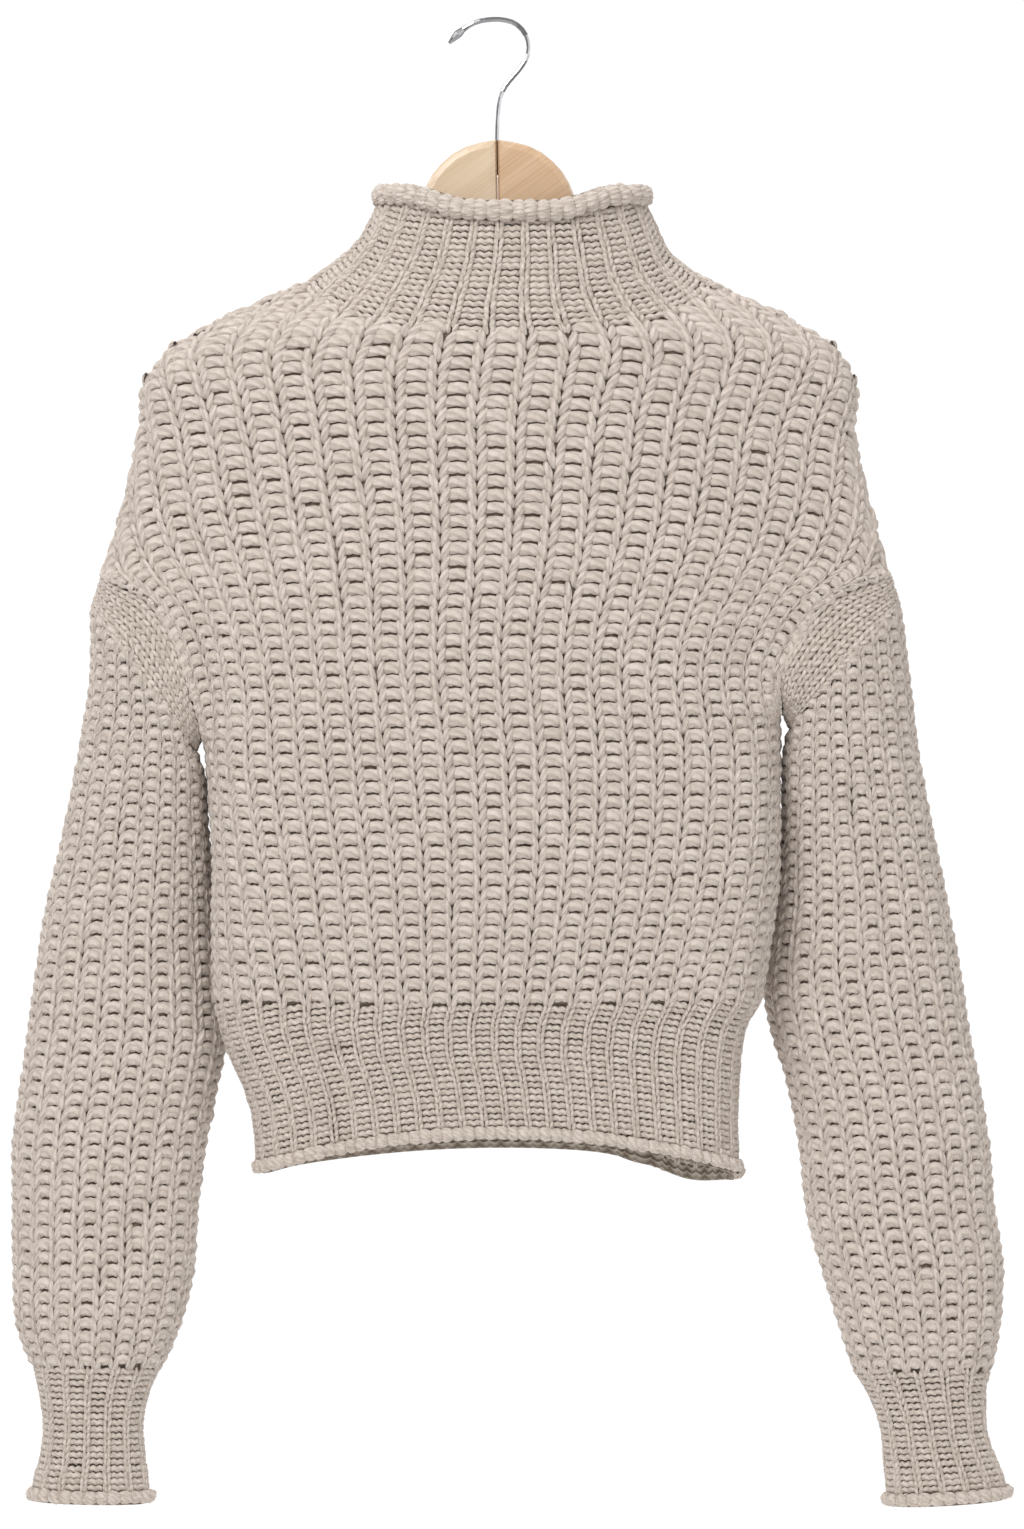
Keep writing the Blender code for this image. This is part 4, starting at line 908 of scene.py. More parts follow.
@dataclass(frozen=True)
class ChromeFinish:
    """Bright plated wire with faint draw marks, its colour painted dark grey as a painted
    reflection of dark surroundings.
    """

    name: str

    def make(self) -> bpy.types.Material:
        """Return the material."""
        nodes, shader, material = start_material(self.name)
        coord = nodes.add("ShaderNodeTexCoord")
        noise = nodes.add(
            "ShaderNodeTexNoise",
            {"Vector": coord.outputs["Object"], "Scale": 140.0, "Detail": 2.0})
        rough = nodes.add("ShaderNodeMapRange", {0: noise.outputs[0], 3: 0.10, 4: 0.24})
        # painted reflection: dark grey tones stand in for dark surroundings reflected in the
        # plating; the noise varies them as draw marks
        colour = nodes.mix(noise.outputs[0], (0.20, 0.20, 0.21, 1), (0.42, 0.42, 0.43, 1))
        finish_shader(nodes, shader, {
            "Base Color": colour, "Roughness": rough.outputs[0], "Metallic": 1.0})
        return material


@dataclass(frozen=True)
class PaperFinish:
    """Plain pale floor."""

    name: str
    tone: float = 0.92

    def make(self) -> bpy.types.Material:
        """Return the material."""
        nodes, shader, material = start_material(self.name)
        finish_shader(nodes, shader, {
            "Base Color": (self.tone, self.tone, self.tone, 1),
            "Roughness": 1.0, "Specular IOR Level": 0.0,
        })
        return material


GROUPS: dict[str, bpy.types.NodeTree] = {}


def group_named(name: str, make: Callable[[], bpy.types.NodeTree]) -> bpy.types.NodeTree:
    """Return a node group, made the first time it is asked for."""
    if name not in GROUPS:
        GROUPS[name] = make()
    return GROUPS[name]


@dataclass
class Wardrobe:
    """The finishes, made once and shared by the pieces."""

    yarn: bpy.types.Material = field(default=None)
    rib_yarn: bpy.types.Material = field(default=None)
    shaded_ground: bpy.types.Material = field(default=None)
    lining: bpy.types.Material = field(default=None)

    def make(self) -> "Wardrobe":
        """Make every finish of the cloth."""
        self.yarn = YarnFinish("yarn").make()
        self.rib_yarn = YarnFinish(
            "rib_yarn", light=(0.695, 0.612, 0.548), shade=(0.505, 0.425, 0.360),
            plies=2.0, twist=0.16, bump=0.0010,
        ).make()
        # the outer face's cloth is a darker copy of the lining, the difference painted shade under
        # the stitches
        self.shaded_ground = GroundFinish("shaded_ground").make()
        self.lining = GroundFinish(
            "lining", pale=(0.56, 0.485, 0.41), dark=(0.26, 0.205, 0.16)).make()
        return self


LEG = Stitch((
    (0.040, -0.34, -4.3, 1.4, 1.4),
    (0.070, -0.06, -2.6, 2.25, 2.1),
    (0.118, 0.30, -1.7, 2.55, 2.3),
    (0.170, 0.66, -2.0, 2.5, 2.2),
    (0.210, 0.98, -3.3, 2.0, 1.8),
    (0.222, 1.20, -4.8, 1.2, 1.1),
))
BAR = Stitch((
    (0.175, 0.34, -5.4, 2.4, 1.9),
    (0.235, 0.43, -3.9, 3.5, 2.7),
    (0.350, 0.54, -3.0, 4.2, 3.0),
    (0.500, 0.61, -2.8, 4.0, 2.95),
    (0.650, 0.54, -3.0, 4.2, 3.0),
    (0.765, 0.43, -3.9, 3.5, 2.7),
    (0.825, 0.34, -5.4, 2.4, 1.9),
))
SLEEVE_LEG = Stitch((
    (0.045, -0.35, -4.3, 1.3, 1.3),
    (0.090, -0.04, -2.5, 2.35, 2.15),
    (0.160, 0.42, -1.7, 2.65, 2.3),
    (0.225, 0.90, -3.0, 2.1, 1.9),
    (0.240, 1.18, -4.8, 1.2, 1.1),
))
SLEEVE_BAR = Stitch((
    (0.215, 0.28, -5.6, 2.2, 1.8),
    (0.270, 0.39, -4.0, 3.2, 2.6),
    (0.375, 0.56, -2.9, 4.1, 3.0),
    (0.500, 0.63, -2.6, 4.0, 3.0),
    (0.625, 0.56, -2.9, 4.1, 3.0),
    (0.730, 0.39, -4.0, 3.2, 2.6),
    (0.785, 0.28, -5.6, 2.2, 1.8),
))
FINE_LEG = Stitch((
    (0.048, -0.35, -3.0, 0.9, 0.9),
    (0.070, 0.10, -1.5, 1.5, 1.4),
    (0.104, 0.60, -1.5, 1.5, 1.4),
    (0.130, 1.15, -3.0, 0.9, 0.9),
), 3)
FINE_LOOP = Stitch((
    (0.140, 0.30, -4.0, 1.4, 1.3),
    (0.235, 0.42, -2.9, 2.05, 1.8),
    (0.340, 0.60, -2.5, 2.10, 1.9),
    (0.500, 0.34, -2.9, 2.00, 1.7),
    (0.660, 0.60, -2.5, 2.10, 1.9),
    (0.765, 0.42, -2.9, 2.05, 1.8),
    (0.860, 0.30, -4.0, 1.4, 1.3),
), 3)
PLAIN_LEG = Stitch((
    (0.05, -0.35, -3.6, 0.9, 0.9),
    (0.13, 0.00, -1.9, 1.6, 1.5),
    (0.24, 0.42, -1.5, 1.75, 1.6),
    (0.36, 0.84, -2.2, 1.6, 1.4),
    (0.42, 1.15, -3.8, 0.9, 0.8),
), 3)
ROLL_LOOP = Stitch((
    (-0.28, -0.10, -3.0, 1.2, 1.0),
    (-0.20, 0.20, -1.2, 1.8, 1.5),
    (-0.06, 0.46, -0.5, 2.05, 1.8),
    (0.08, 0.72, -0.5, 2.05, 1.8),
    (0.20, 1.00, -1.2, 1.8, 1.5),
    (0.28, 1.30, -3.0, 1.2, 1.0),
))


@dataclass(frozen=True)
class RibKnit:
    """How a rib is worked: its legs, its bars, and the rib width they are drawn for."""

    leg: Stitch
    bar: Stitch
    drawn_width: float
    row: float
    grow: float = 0.7
    # reach: how far under the surface yarn lies in full painted shade, in mm
    reach: float = 6.5


BROAD = RibKnit(LEG, BAR, 21.5, 8.45)
SLEEVE_BROAD = RibKnit(SLEEVE_LEG, SLEEVE_BAR, 18.0, 8.45)
FINE = RibKnit(FINE_LEG, FINE_LOOP, 15.5, 4.15, reach=8.5)
INNER_ROWS = 9.0
ROLL_TURN = (math.radians(-100), math.radians(205))
ROLL_STATIONS = 49
ROLL_PITCH = 3.4 * MM


def lay_rib(yarn: YarnMesh, grid: KnitGrid, knit: RibKnit, columns: int, first: float,
            closed: bool, side: float = 1.0, lift: float = 0.0, short: float = 0.25,
            most: float = math.inf) -> None:
    """Cover a net with legs on every rib and bars between ribs.

    Args:
        yarn: the mesh that takes the stitches.
        grid: the cloth.
        knit: how the rib is worked.
        columns: how many ribs there are.
        first: the first stitch row.
        closed: whether the ribs run all round.
        side: 1 outside, -1 on the inner face.
        lift: height added, in mm.
        short: how many stitch rows under the cloth's end they stop.
        most: the most stitch rows that are laid.
    """
    legs = (knit.leg, knit.leg.mirrored())
    for which, stitch in enumerate(legs):
        start = 0 if closed or which == 0 else 1
        stop = columns if closed or which == 0 else columns + 1
        column, row = stitch_places(grid, np.arange(start, stop, dtype=float), first, short, most)
        lay_at(yarn, grid, stitch, column, row, knit, side, lift)
    column, row = stitch_places(grid, np.arange(columns, dtype=float), first, short, most, 0.5)
    lay_at(yarn, grid, knit.bar, column, row, knit, side, lift)


def stitch_places(grid: KnitGrid, ribs: Array, first: float, short: float,
                  most: float, middle: float = 0.0) -> tuple[Array, Array]:
    """Return the rib and row of every stitch that ends before the cloth does."""
    last = grid.last_row(ribs + middle)
    columns, rows = [], []
    for rib, top in zip(ribs, last):
        run = np.arange(first, min(top - short, first + most))
        columns.append(np.full(len(run), rib))
        rows.append(run)
    return np.concatenate(columns), np.concatenate(rows)


def lay_at(yarn: YarnMesh, grid: KnitGrid, stitch: Stitch, column: Array, row: Array,
           knit: RibKnit, side: float, lift: float) -> None:
    """Lay one kind of stitch, thicker where the ribs spread."""
    width = grid.width(column + 0.5, row + 0.5) / MM
    scale = np.clip((width / knit.drawn_width) ** knit.grow, 0.55, 1.25)
    if stitch is knit.bar:
        scale = np.ones(len(column))
    yarn.lay(grid, stitch, column, row, scale, lift, side, 1.0, knit.reach)


def build_shell(name: str, grid: KnitGrid, columns: Array, rows: int, outside: float,
                inside: float, wardrobe: Wardrobe, wrap: bool,
                from_row: float = 0.0) -> bpy.types.Object:
    """Build the thin cloth under the stitches, its outer face darker as painted shade.

    Args:
        name: the piece's name.
        grid: the cloth.
        columns: the ribs to pass through.
        rows: how many rows of faces.
        outside: how far its outer face lies under the surface, in mm.
        inside: the same for its inner face.
        wardrobe: the finishes.
        wrap: whether it closes all round.
        from_row: the stitch row it starts at.

    Returns:
        The closed mesh.
    """
    last = grid.last_row(columns)
    part = np.linspace(0.0, 1.0, rows + 1)
    row = from_row + (last[:, None] - from_row) * part
    column = np.broadcast_to(columns[:, None], row.shape)
    place, normal = grid.read(column, row)
    outer, inner = place - outside * MM * normal, place - inside * MM * normal
    count = len(columns)
    points = np.concatenate((outer.reshape(-1, 3), inner.reshape(-1, 3)))
    index = np.arange(count * (rows + 1)).reshape(count, rows + 1)
    start = index.size
    uv = np.stack((column, row), axis=-1).reshape(-1, 2)
    uv = np.concatenate((uv, uv))
    faces, corner_uv = [], []
    pairs = [(i, i + 1) for i in range(count - 1)] + ([(count - 1, 0)] if wrap else [])
    step = columns[1] - columns[0]
    for layer in (0, start):
        for i, k in pairs:
            quad = np.stack((index[i, :-1], index[k, :-1], index[k, 1:], index[i, 1:]), axis=-1)
            faces.append(quad + layer if layer == 0 else (quad + layer)[:, ::-1])
            corner = uv[faces[-1]].copy()
            if k == 0:
                far = np.isin(faces[-1] - layer, index[0])
                corner[..., 0] = np.where(far, columns[-1] + step, corner[..., 0])
            corner_uv.append(corner)
    rims = []
    for row_end in (0, rows):
        for i, k in pairs:
            rims.append((index[i, row_end], index[k, row_end],
                         index[k, row_end] + start, index[i, row_end] + start))
    if not wrap:
        for i in (0, count - 1):
            for j in range(rows):
                rims.append((index[i, j], index[i, j + 1],
                             index[i, j + 1] + start, index[i, j] + start))
    rims = np.array(rims)
    faces.append(rims)
    corner_uv.append(uv[rims])
    outer_count = len(pairs) * rows
    all_faces = np.concatenate(faces)
    piece = mesh_object(name, points, all_faces, np.concatenate(corner_uv).reshape(-1, 2))
    # painted shade: the outer face takes the darker cloth finish, the inner face the paler lining
    piece.data.materials.append(wardrobe.shaded_ground)
    piece.data.materials.append(wardrobe.lining)
    slots = np.zeros(len(all_faces), dtype=np.int32)
    slots[outer_count:2 * outer_count] = 1
    piece.data.polygons.foreach_set("material_index", slots)
    face_outwards(piece)
    LOG.info("%s: %d faces", name, 2 * len(all_faces))
    return piece


def face_outwards(piece: bpy.types.Object) -> None:
    """Turn every face of a closed mesh outwards."""
    shape = bmesh.new()
    shape.from_mesh(piece.data)
    bmesh.ops.recalc_face_normals(shape, faces=shape.faces)
    shape.to_mesh(piece.data)
    shape.free()


def cloth_area(piece: bpy.types.Object) -> float:
    """Return the area of one face of a thin closed mesh."""
    areas = np.empty(len(piece.data.polygons))
    piece.data.polygons.foreach_get("area", areas)
    return float(areas.sum() / 2)


def declare(shell: bpy.types.Object, yarns: list[bpy.types.Object], node: str, slot: str,
            flat: tuple[float, float], area: float, rests_on: list[str]) -> None:
    """Args:
        shell: the cloth.
        yarns: its stitches.
        node: the solid it replaces.
        slot: the record's material slot; not used.
        flat: the flat cut's width and length, in metres; not used.
        area: the flat cut's area, in square metres.
        rests_on: what carries it; not used.
    """
    for piece in (shell, *yarns):
        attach(piece, "root")
    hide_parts(node)
    LOG.info("%s: cloth area %.4f, flat %.4f", shell.name, cloth_area(shell), area)


@dataclass
class Panel:
    """The front or the back of the body."""

    name: str
    side: Side
    wardrobe: Wardrobe
    seed: int
    flat: tuple[float, float] = (0.50, 0.50)
    area: float = 0.205

    CALMED_POINTS = 24
    EDGE_POWER = 6

    def build(self) -> KnitGrid:
        """Build the cloth and its stitches.

        Returns:
            The net, for the armhole bands.
        """
        body = Sections(BODY_ROWS, BODY_FOLDS, armhole=True)
        s = np.linspace(-1.0, 1.0, int(BODY_WALES / RIB_STEP) + 1)
        t = np.linspace(0.0, 1.0, 420)
        paths = body.paths(s, t, self.side)
        fall = np.interp(t, body.place[[TIP_ROW, TIP_ROW + 3]], (1.0, 0.0))
        calm = ((1.0 - np.abs(s) ** self.EDGE_POWER)[:, None] * fall)[..., None]
        paths = paths * (1 - calm) + smoothed(paths, self.CALMED_POINTS) * calm
        ends = body.ends(s) * (len(t) - 1)
        centre = np.array((0.0, 0.0, -0.40))
        middle = len(s) // 2
        length = np.linalg.norm(np.diff(paths[middle], axis=0), axis=1).sum()
        pitch = length / round(length / (BROAD.row * MM))
        grid = KnitGrid.from_paths(paths, ends, pitch, RIB_STEP, False, centre)
        shell = build_shell(
            self.name + "_cloth", grid, np.linspace(0.0, BODY_WALES, 2 * BODY_WALES + 1), 60,
            4.7, 7.3, self.wardrobe, False)
        yarn = YarnMesh(self.name + "_stitches", self.seed)
        lay_rib(yarn, grid, BROAD, BODY_WALES, 0.15, False)
        stitches = yarn.build()
        stitches.data.materials.append(self.wardrobe.yarn)
        declare(shell, [stitches], self.name, "beige_yarn", self.flat, self.area,
                ["hanger_left", "hanger_right"])
        return grid


@dataclass
class Tube:
    """A sleeve, cuff or collar: ribs all round."""

    name: str
    slot: str
    rows: tuple[Row, ...]
    ribs: int
    knit: RibKnit
    wardrobe: Wardrobe
    seed: int
    flat: tuple[float, float]
    area: float
    folds: tuple[Row, ...] = ()
    lifts: tuple[Row, ...] = ()
    upwards: bool = False
    roll: tuple[float, float] | None = None
    first: float = 0.15
    carried_by: tuple[str, ...] = ()

    def net(self) -> KnitGrid:
        """Return the net, its stitch rows counted from the first course knitted."""
        surface = Sections(self.rows, self.folds, self.lifts)
        half = int(self.ribs / RIB_STEP) // 2
        s = np.linspace(-1.0, 1.0, half + 1)
        t = np.linspace(0.0, 1.0, 260)
        front = surface.paths(s, t, Side.FRONT)
        back = surface.paths(s, t, Side.BACK)
        ring = np.concatenate((front, back[-2:0:-1]))
        if not self.upwards:
            ring = ring[:, ::-1]
        ends = np.full(len(ring), len(t) - 1.0)
        centre = ring.mean(axis=(0, 1))
        return KnitGrid.from_paths(ring, ends, self.knit.row * MM, RIB_STEP, True, centre)

    def build(self) -> KnitGrid:
        """Build the cloth, its stitches and its rolled edge."""
        grid = self.net()
        columns = np.arange(0, self.ribs, 0.5)
        shell = build_shell(self.name + "_cloth", grid, columns, 40, CLOTH_OUTSIDE,
                            CLOTH_INSIDE, self.wardrobe, True)
        yarn = YarnMesh(self.name + "_stitches", self.seed)
        under_roll = 2.2 if self.upwards else 0.25
        lay_rib(yarn, grid, self.knit, self.ribs, self.first, True, short=under_roll)
        if self.roll:
            inner = self.first + (6.0 if self.upwards else 1.0)
            lay_rib(yarn, grid, self.knit, self.ribs, inner, True, side=-1.0, lift=INNER_LIFT,
                    short=under_roll + 1.6, most=INNER_ROWS)
        stitches = yarn.build()
        finish = self.wardrobe.rib_yarn if self.knit is FINE else self.wardrobe.yarn
        stitches.data.materials.append(finish)
        pieces = [stitches]
        if self.roll:
            pieces.append(self.add_roll(grid, finish))
        declare(shell, pieces, self.name, self.slot, self.flat, self.area,
                list(self.carried_by) or [shell.name])
        return grid

    def add_roll(self, grid: KnitGrid, finish: bpy.types.Material) -> bpy.types.Object:
        """Add the bead of curled knit along the free edge."""
        column = np.arange(0, self.ribs, RIB_STEP)
        edge = grid.last_row(column) if self.upwards else np.zeros(len(column))
        return rolled_edge(self.name + "_roll", grid, column, edge, self.ribs, self.roll,
                           1.0 if self.upwards else -1.0, finish, self.seed + 50, True)


def rolled_edge(name: str, grid: KnitGrid, column: Array, edge: Array, ribs: int,
                roll: tuple[float, float], onward: float, finish: bpy.types.Material,
                seed: int, closed: bool) -> bpy.types.Object:
    """Build the bead of curled knit along a free edge, with loops lying over it.

    Args:
        name: the piece's name.
        grid: the cloth that it edges.
        column: ribs along the edge, an eighth apart.
        edge: the edge's stitch row at each.
        ribs: how many ribs the edge has.
        roll: the bead's radius, and how far its middle stands out, in mm.
        onward: 1 where the stitch rows run towards the edge, -1 where they leave it.
        finish: the yarn.
        seed: fixes the small irregularities.
        closed: whether the edge runs all round.

    Returns:
        The bead.
    """
    radius, proud = roll[0] * MM, roll[1] * MM
    place, normal = grid.read(column, edge)
    inward, _ = grid.read(column, edge - onward)
    out = unit(place - inward)
    out = unit(out - normal * np.sum(out * normal, axis=1, keepdims=True))
    swell = 0.90 + 0.13 * np.abs(np.sin(math.pi * (column + 0.5)))
    middle = place - out * radius + normal * proud
    turns = np.linspace(*ROLL_TURN, ROLL_STATIONS)
    radial = (
        normal[:, None] * np.cos(turns)[None, :, None]
        + out[:, None] * np.sin(turns)[None, :, None]
    )
    under = radius - 1.4 * MM
    ring = middle[:, None] + radial * (under * swell)[:, None, None]
    rows = np.full(len(column), radius * (turns[-1] - turns[0]) / ROLL_PITCH)
    bead = KnitGrid(ring, radial, rows, column[1] - column[0], rows[0] / (len(turns) - 1),
                    closed, False)
    yarn = YarnMesh(name, seed)
    rows_at = np.arange(0.0, rows[0] - 0.8)
    for offset in (0.25, 0.75):
        c, r = np.meshgrid(np.arange(ribs) + offset, rows_at, indexing="ij")
        yarn.lay(bead, ROLL_LOOP, c.ravel(), r.ravel() + offset * 0.6, np.ones(c.size),
                 loose=1.3)
    piece = yarn.build()
    core_points = (middle[:, None] + radial * (radius * swell * 0.72)[:, None, None])[:, ::4]
    add_core(piece, core_points, closed)
    piece.data.materials.append(finish)
    return piece


def add_core(piece: bpy.types.Object, ring: Array, closed: bool) -> None:
    """Join a plain core under a bead's loops to its mesh, its colour darkened as painted shade."""
    count, around = ring.shape[:2]
    index = np.arange(count * around).reshape(count, around)
    pairs = [(i, i + 1) for i in range(count - 1)] + ([(count - 1, 0)] if closed else [])
    faces = np.concatenate([
        np.stack((index[i, :-1], index[k, :-1], index[k, 1:], index[i, 1:]), axis=-1)
        for i, k in pairs
    ])
    core = mesh_object(piece.name + "_core", ring.reshape(-1, 3), faces,
                       np.zeros((faces.size, 2)))
    add_values(core, "tint", np.zeros(count * around))
    # painted shade: the core is marked as lying deep, so its colour is painted dark
    add_values(core, "depth", np.full(count * around, 0.8))
    with bpy.context.temp_override(active_object=piece, selected_editable_objects=[piece, core]):
        bpy.ops.object.join()


@dataclass
class HemHalf:
    """The front or back half of the hem rib."""

    name: str
    side: Side
    wardrobe: Wardrobe
    seed: int
    roll: tuple[float, float] = (4.8, -1.8)
    flat: tuple[float, float] = (0.36, 0.108)
    area: float = 0.0355

    def build(self) -> None:
        """Build the cloth, its stitches and its rolled edge."""
        surface = Sections(HEM_SECTION_ROWS, HEM_FOLDS, HEM_LIFTS)
        s = np.linspace(-1.0, 1.0, int(BODY_WALES / RIB_STEP) + 1)
        t = np.linspace(0.0, 1.0, 160)
        paths = surface.paths(s, t, self.side)[:, ::-1]
        ends = np.full(len(s), len(t) - 1.0)
        centre = np.array((0.0, 0.0, -0.68))
        grid = KnitGrid.from_paths(paths, ends, FINE.row * MM, RIB_STEP, False, centre)
        shell = build_shell(
            self.name + "_cloth", grid, np.linspace(0.0, BODY_WALES, 2 * BODY_WALES + 1), 20,
            CLOTH_OUTSIDE, CLOTH_INSIDE, self.wardrobe, False)
        yarn = YarnMesh(self.name + "_stitches", self.seed)
        lay_rib(yarn, grid, FINE, BODY_WALES, 1.2, False)
        lay_rib(yarn, grid, FINE, BODY_WALES, 2.2, False, side=-1.0, lift=INNER_LIFT,
                most=INNER_ROWS)
        stitches = yarn.build()
        stitches.data.materials.append(self.wardrobe.rib_yarn)
        column = np.linspace(0.0, BODY_WALES, len(s))
        roll = rolled_edge(self.name + "_roll", grid, column, np.zeros(len(column)), BODY_WALES,
                           self.roll, -1.0, self.wardrobe.rib_yarn, self.seed + 50, False)
        declare(shell, [stitches, roll], self.name, "beige_rib_yarn", self.flat, self.area,
                [self.name.replace("hem_", "") + "_cloth"])


@dataclass
class ArmholeBand:
    """A narrow band of plain knit between the body and a sleeve."""

    name: str
    edge: float
    sleeve_rows: tuple[Row, ...]
    wardrobe: Wardrobe
    seed: int
    wales: int = 5
    stations: int = 160
    row: float = 6.0 * MM
    flat: tuple[float, float] = (0.27, 0.034)
    area: float = 0.0082

    def build(self) -> None:
        """Build the cloth and its stitches."""
        body = Sections(BODY_ROWS, BODY_FOLDS, armhole=True)
        t = np.linspace(body.place[UNDERARM_ROW], body.place[TIP_ROW], 200)
        s = np.array((self.edge,))
        front = even(body.paths(s, t, Side.FRONT)[0], self.stations // 2)
        back = even(body.paths(s, t, Side.BACK)[0], self.stations // 2)
        if self.edge < 0:
            start = np.vstack((front[::-1], back[1:-1]))
        else:
            start = np.vstack((front, back[-2:0:-1]))
        sleeve = Sections(self.sleeve_rows, SLEEVE_FOLDS)
        across = np.linspace(-1.0, 1.0, self.stations // 2 + 1)
        near = np.array((0.0, 0.01))
        target = np.vstack((
            sleeve.paths(across, near, Side.FRONT)[:, 0],
            sleeve.paths(across, near, Side.BACK)[-2:0:-1, 0],
        ))
        part = np.linspace(0.0, 1.0, 4 * self.wales + 1)[:, None, None]
        places = start[None] * (1 - part) + target[None] * part
        around = np.linalg.norm(np.roll(start, -1, axis=0) - start, axis=1).sum()
        rows = round(around / self.row)
        centre = places.mean(axis=(0, 1))
        grid = KnitGrid.of_places(
            places, np.full(places.shape[0], float(rows)), 0.25, rows / self.stations,
            False, True, centre)
        shell = self.closed_shell(grid, rows)
        yarn = YarnMesh(self.name + "_stitches", self.seed)
        column, row = np.meshgrid(
            np.arange(self.wales) + 0.5, np.arange(rows, dtype=float), indexing="ij")
        for stitch in (PLAIN_LEG, PLAIN_LEG.mirrored()):
            width = grid.width(column.ravel(), row.ravel()) / MM
            scale = np.clip((width / 6.5) ** 0.7, 0.5, 1.2)
            yarn.lay(grid, stitch, column.ravel(), row.ravel(), scale)
        stitches = yarn.build()
        stitches.data.materials.append(self.wardrobe.rib_yarn)
        declare(shell, [stitches], self.name, "beige_rib_yarn", self.flat, self.area,
                ["front_cloth", "back_cloth"])

    def closed_shell(self, grid: KnitGrid, rows: int) -> bpy.types.Object:
        """Return the band's thin cloth, closed all round the armhole.

        Args:
            grid: the band's net.
            rows: how many stitch rows go round it.
        """
        turned = KnitGrid(
            grid.places.transpose(1, 0, 2), grid.normals.transpose(1, 0, 2),
            np.full(grid.places.shape[1], float(self.wales)), grid.row_step,
            grid.column_step, True, False)
        around = np.arange(0, rows, 0.5)
        return build_shell(self.name + "_cloth", turned, around, 2 * self.wales, 3.4, 6.6,
                           self.wardrobe, True)


def even(points: Array, count: int) -> Array:
    """Return count + 1 points spaced evenly along a line of points."""
    steps = np.linalg.norm(np.diff(points, axis=0), axis=1)
    length = np.concatenate(([0.0], np.cumsum(steps)))
    wanted = np.linspace(0.0, length[-1], count + 1)
    return np.stack([np.interp(wanted, length, points[:, axis]) for axis in range(3)], axis=1)


@dataclass
class Hanger:
    """The wooden hanger and its wire hook, dressed on their solids."""

    joint_gap: float = 0.3 * MM
    tilt: float = -0.95

    def dress(self) -> None:
        """Give the hanger's halves and the hook their finishes."""
        nodes = frame["nodes"]
        finishes = {
            "hanger_left": WoodFinish(
                "beech_warm", (0.665, 0.465, 0.300), (0.480, 0.285, 0.145), 0.62),
            "hanger_right": WoodFinish(
                "beech_pale", (0.730, 0.575, 0.410), (0.570, 0.405, 0.250), 0.62),
            "hook": ChromeFinish("chrome"),
        }
        for name, finish in finishes.items():
            mesh = nodes[name].data
            mesh.materials.clear()
            mesh.materials.append(finish.make())
            LOG.info("%s dressed", name)
        self.add_glue(nodes["hanger_left"], nodes["hanger_left"].data.materials[0])

    def add_glue(self, half: bpy.types.Object, wood: bpy.types.Material) -> None:
        """Fill the front and back of the glued joint between the halves.

        Args:
            half: the left half, whose inner face lies on the joint.
            wood: the finish it takes.
        """
        corners = np.array([half.matrix_world @ vertex.co for vertex in half.data.vertices])
        turn = math.radians(self.tilt)
        across = corners[:, 0] * math.cos(turn) + corners[:, 2] * math.sin(turn)
        joint = corners[across < across.min() + 0.1 * MM]
        low, high = joint.min(axis=0), joint.max(axis=0)
        middle = across.min() - self.joint_gap / 2
        inset, deep, wide = 0.5 * MM, 1.5 * MM, self.joint_gap * 0.45
        points, faces = [], []
        for near in (low[1] + inset, high[1] - inset - deep):
            start = len(points)
            for x in (middle - wide, middle + wide):
                for y in (near, near + deep):
                    for z in (low[2] + inset, high[2] - inset):
                        points.append(((x - z * math.sin(turn)) / math.cos(turn), y, z))
            box = ((0, 1, 3, 2), (4, 6, 7, 5), (0, 4, 5, 1), (2, 3, 7, 6), (0, 2, 6, 4),
                   (1, 5, 7, 3))
            faces += [tuple(start + k for k in face) for face in box]
        faces = np.array(faces)
        glue = mesh_object("hanger_joint", np.array(points), faces, np.zeros((faces.size, 2)))
        face_outwards(glue)
        glue.data.shade_flat()
        glue.data.materials.append(wood)
        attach(glue, "root")
        LOG.info("hanger_joint: %d corners on the joint, %s to %s", len(joint), low, high)


GARMENT_MIDDLE = (0.0, 0.0, -0.45)
STUDIO_LIGHTS = (
    ("key", (-1.2, -2.0, 1.5), 1.3, 56.0),
    ("fill", (1.9, -1.9, 0.1), 1.6, 14.0),
    ("back", (0.0, 0.6, 1.6), 1.4, 14.0),
    ("rim_left", (-1.8, 1.6, 0.2), 1.4, 12.0),
    ("rim_right", (1.8, 1.6, 0.2), 1.4, 12.0),
)


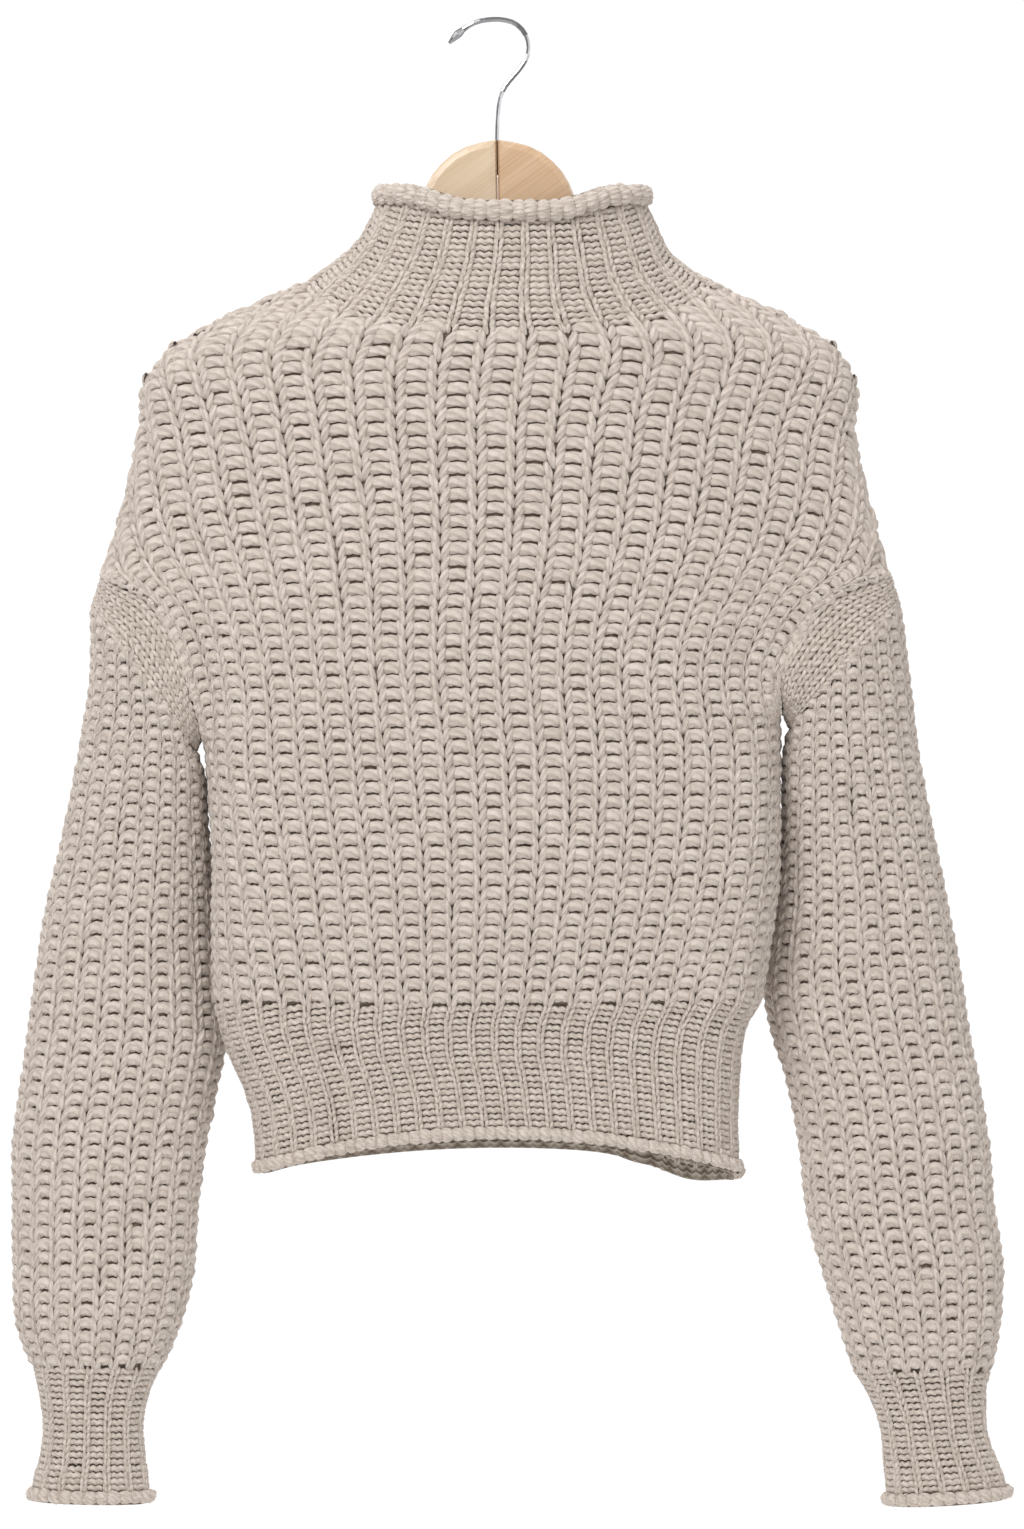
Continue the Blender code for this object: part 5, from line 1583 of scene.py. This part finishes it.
@dataclass
class Studio:
    """The floor, the surroundings, the lights and the camera."""

    distance: float = 5.0
    aim: tuple[float, float] = (0.0096, -0.4752)
    frame_height: float = 0.9786
    floor_z: float = -1.15
    floor_radius: float = 1.8
    floor_sides: int = 96
    ambient: float = 0.56
    paper_glow: float = 1.05

    def build(self) -> None:
        """Build everything around the garment."""
        self.add_floor()
        for name, place, size, power in STUDIO_LIGHTS:
            self.add_light(name, place, size, power, GARMENT_MIDDLE)
        scene = bpy.context.scene
        scene.world = self.add_world()
        scene.view_settings.view_transform = "Standard"
        camera_data = bpy.data.cameras.new("camera")
        camera_data.lens = camera_data.sensor_width * self.distance / self.frame_height
        camera = bpy.data.objects.new("camera", camera_data)
        camera.location = (self.aim[0], -self.distance, self.aim[1])
        camera.rotation_euler = (math.radians(90), 0.0, 0.0)
        scene.collection.objects.link(camera)
        scene.camera = camera

    def add_floor(self) -> None:
        """Add a round floor, well under the garment."""
        turns = np.linspace(0.0, 2.0 * math.pi, self.floor_sides + 1)[:-1]
        around = np.stack((np.cos(turns), np.sin(turns), np.zeros(len(turns))), axis=1)
        centre = np.array((0.0, 0.0, self.floor_z))
        points = np.vstack([centre + around * radius for radius in (0.02, self.floor_radius)])
        inner = np.arange(self.floor_sides)
        onward = (inner + 1) % self.floor_sides
        faces = np.stack((inner, inner + self.floor_sides, onward + self.floor_sides, onward),
                         axis=1)
        floor = mesh_object("floor", points, faces, np.zeros((faces.size, 2)))
        floor.data.materials.append(PaperFinish("paper").make())

    def add_world(self) -> bpy.types.World:
        """Return soft white surroundings that show as plain white paper."""
        world = bpy.data.worlds.new("studio")
        world.use_nodes = True
        nodes = NodeTree(world.node_tree)
        background = world.node_tree.nodes["Background"]
        background.inputs["Color"].default_value = (1.0, 1.0, 1.0, 1.0)
        seen = nodes.add("ShaderNodeLightPath").outputs["Is Camera Ray"]
        strength = nodes.add(
            "ShaderNodeMapRange", {0: seen, 3: self.ambient, 4: self.paper_glow}).outputs[0]
        world.node_tree.links.new(strength, background.inputs["Strength"])
        return world

    def add_light(self, name: str, place: tuple[float, float, float], size: float,
                  power: float, target: tuple[float, float, float]) -> None:
        """Add a square soft light that faces the target."""
        data = bpy.data.lights.new(name, "AREA")
        data.size = size
        data.energy = power
        light = bpy.data.objects.new(name, data)
        light.location = place
        aim = np.array(target) - np.array(place)
        flat = math.hypot(aim[0], aim[1])
        light.rotation_euler = (
            math.pi / 2 + math.atan2(aim[2], flat), 0.0, math.atan2(aim[1], aim[0]) - math.pi / 2)
        bpy.context.scene.collection.objects.link(light)


def main() -> None:
    """Build the garment, the hanger's finishes and the studio."""
    logging.basicConfig(level=logging.INFO, format="%(message)s")
    wardrobe = Wardrobe().make()
    Panel("front", Side.FRONT, wardrobe, 11).build()
    Panel("back", Side.BACK, wardrobe, 12).build()
    for name, rows, seed in (("right", RIGHT_SLEEVE_ROWS, 21), ("left", LEFT_SLEEVE_ROWS, 22)):
        Tube(f"sleeve_{name}", "beige_yarn", rows, 20, SLEEVE_BROAD, wardrobe, seed,
             (0.31, 0.46), 0.120, SLEEVE_FOLDS,
             carried_by=(f"armhole_band_{name}_cloth",)).build()
    ArmholeBand("armhole_band_right", -1.0, RIGHT_SLEEVE_ROWS, wardrobe, 31).build()
    ArmholeBand("armhole_band_left", 1.0, LEFT_SLEEVE_ROWS, wardrobe, 32).build()
    for name, rows, seed in (("right", RIGHT_CUFF_ROWS, 41), ("left", LEFT_CUFF_ROWS, 42)):
        Tube(f"cuff_{name}", "beige_rib_yarn", rows, 13, FINE, wardrobe, seed,
             (0.17, 0.088), 0.0142, roll=(4.8, -1.3), first=1.2,
             carried_by=(f"sleeve_{name}_cloth",)).build()
    HemHalf("hem_front", Side.FRONT, wardrobe, 51).build()
    HemHalf("hem_back", Side.BACK, wardrobe, 52).build()
    Tube("collar", "beige_rib_yarn", COLLAR_SECTION_ROWS, 26, FINE, wardrobe, 61,
         (0.46, 0.080), 0.0360, lifts=COLLAR_LIFTS, upwards=True, roll=(7.5, 0.0),
         carried_by=("front_cloth", "back_cloth")).build()
    Hanger().dress()
    Studio().build()


if __name__ == "__main__":
    main()
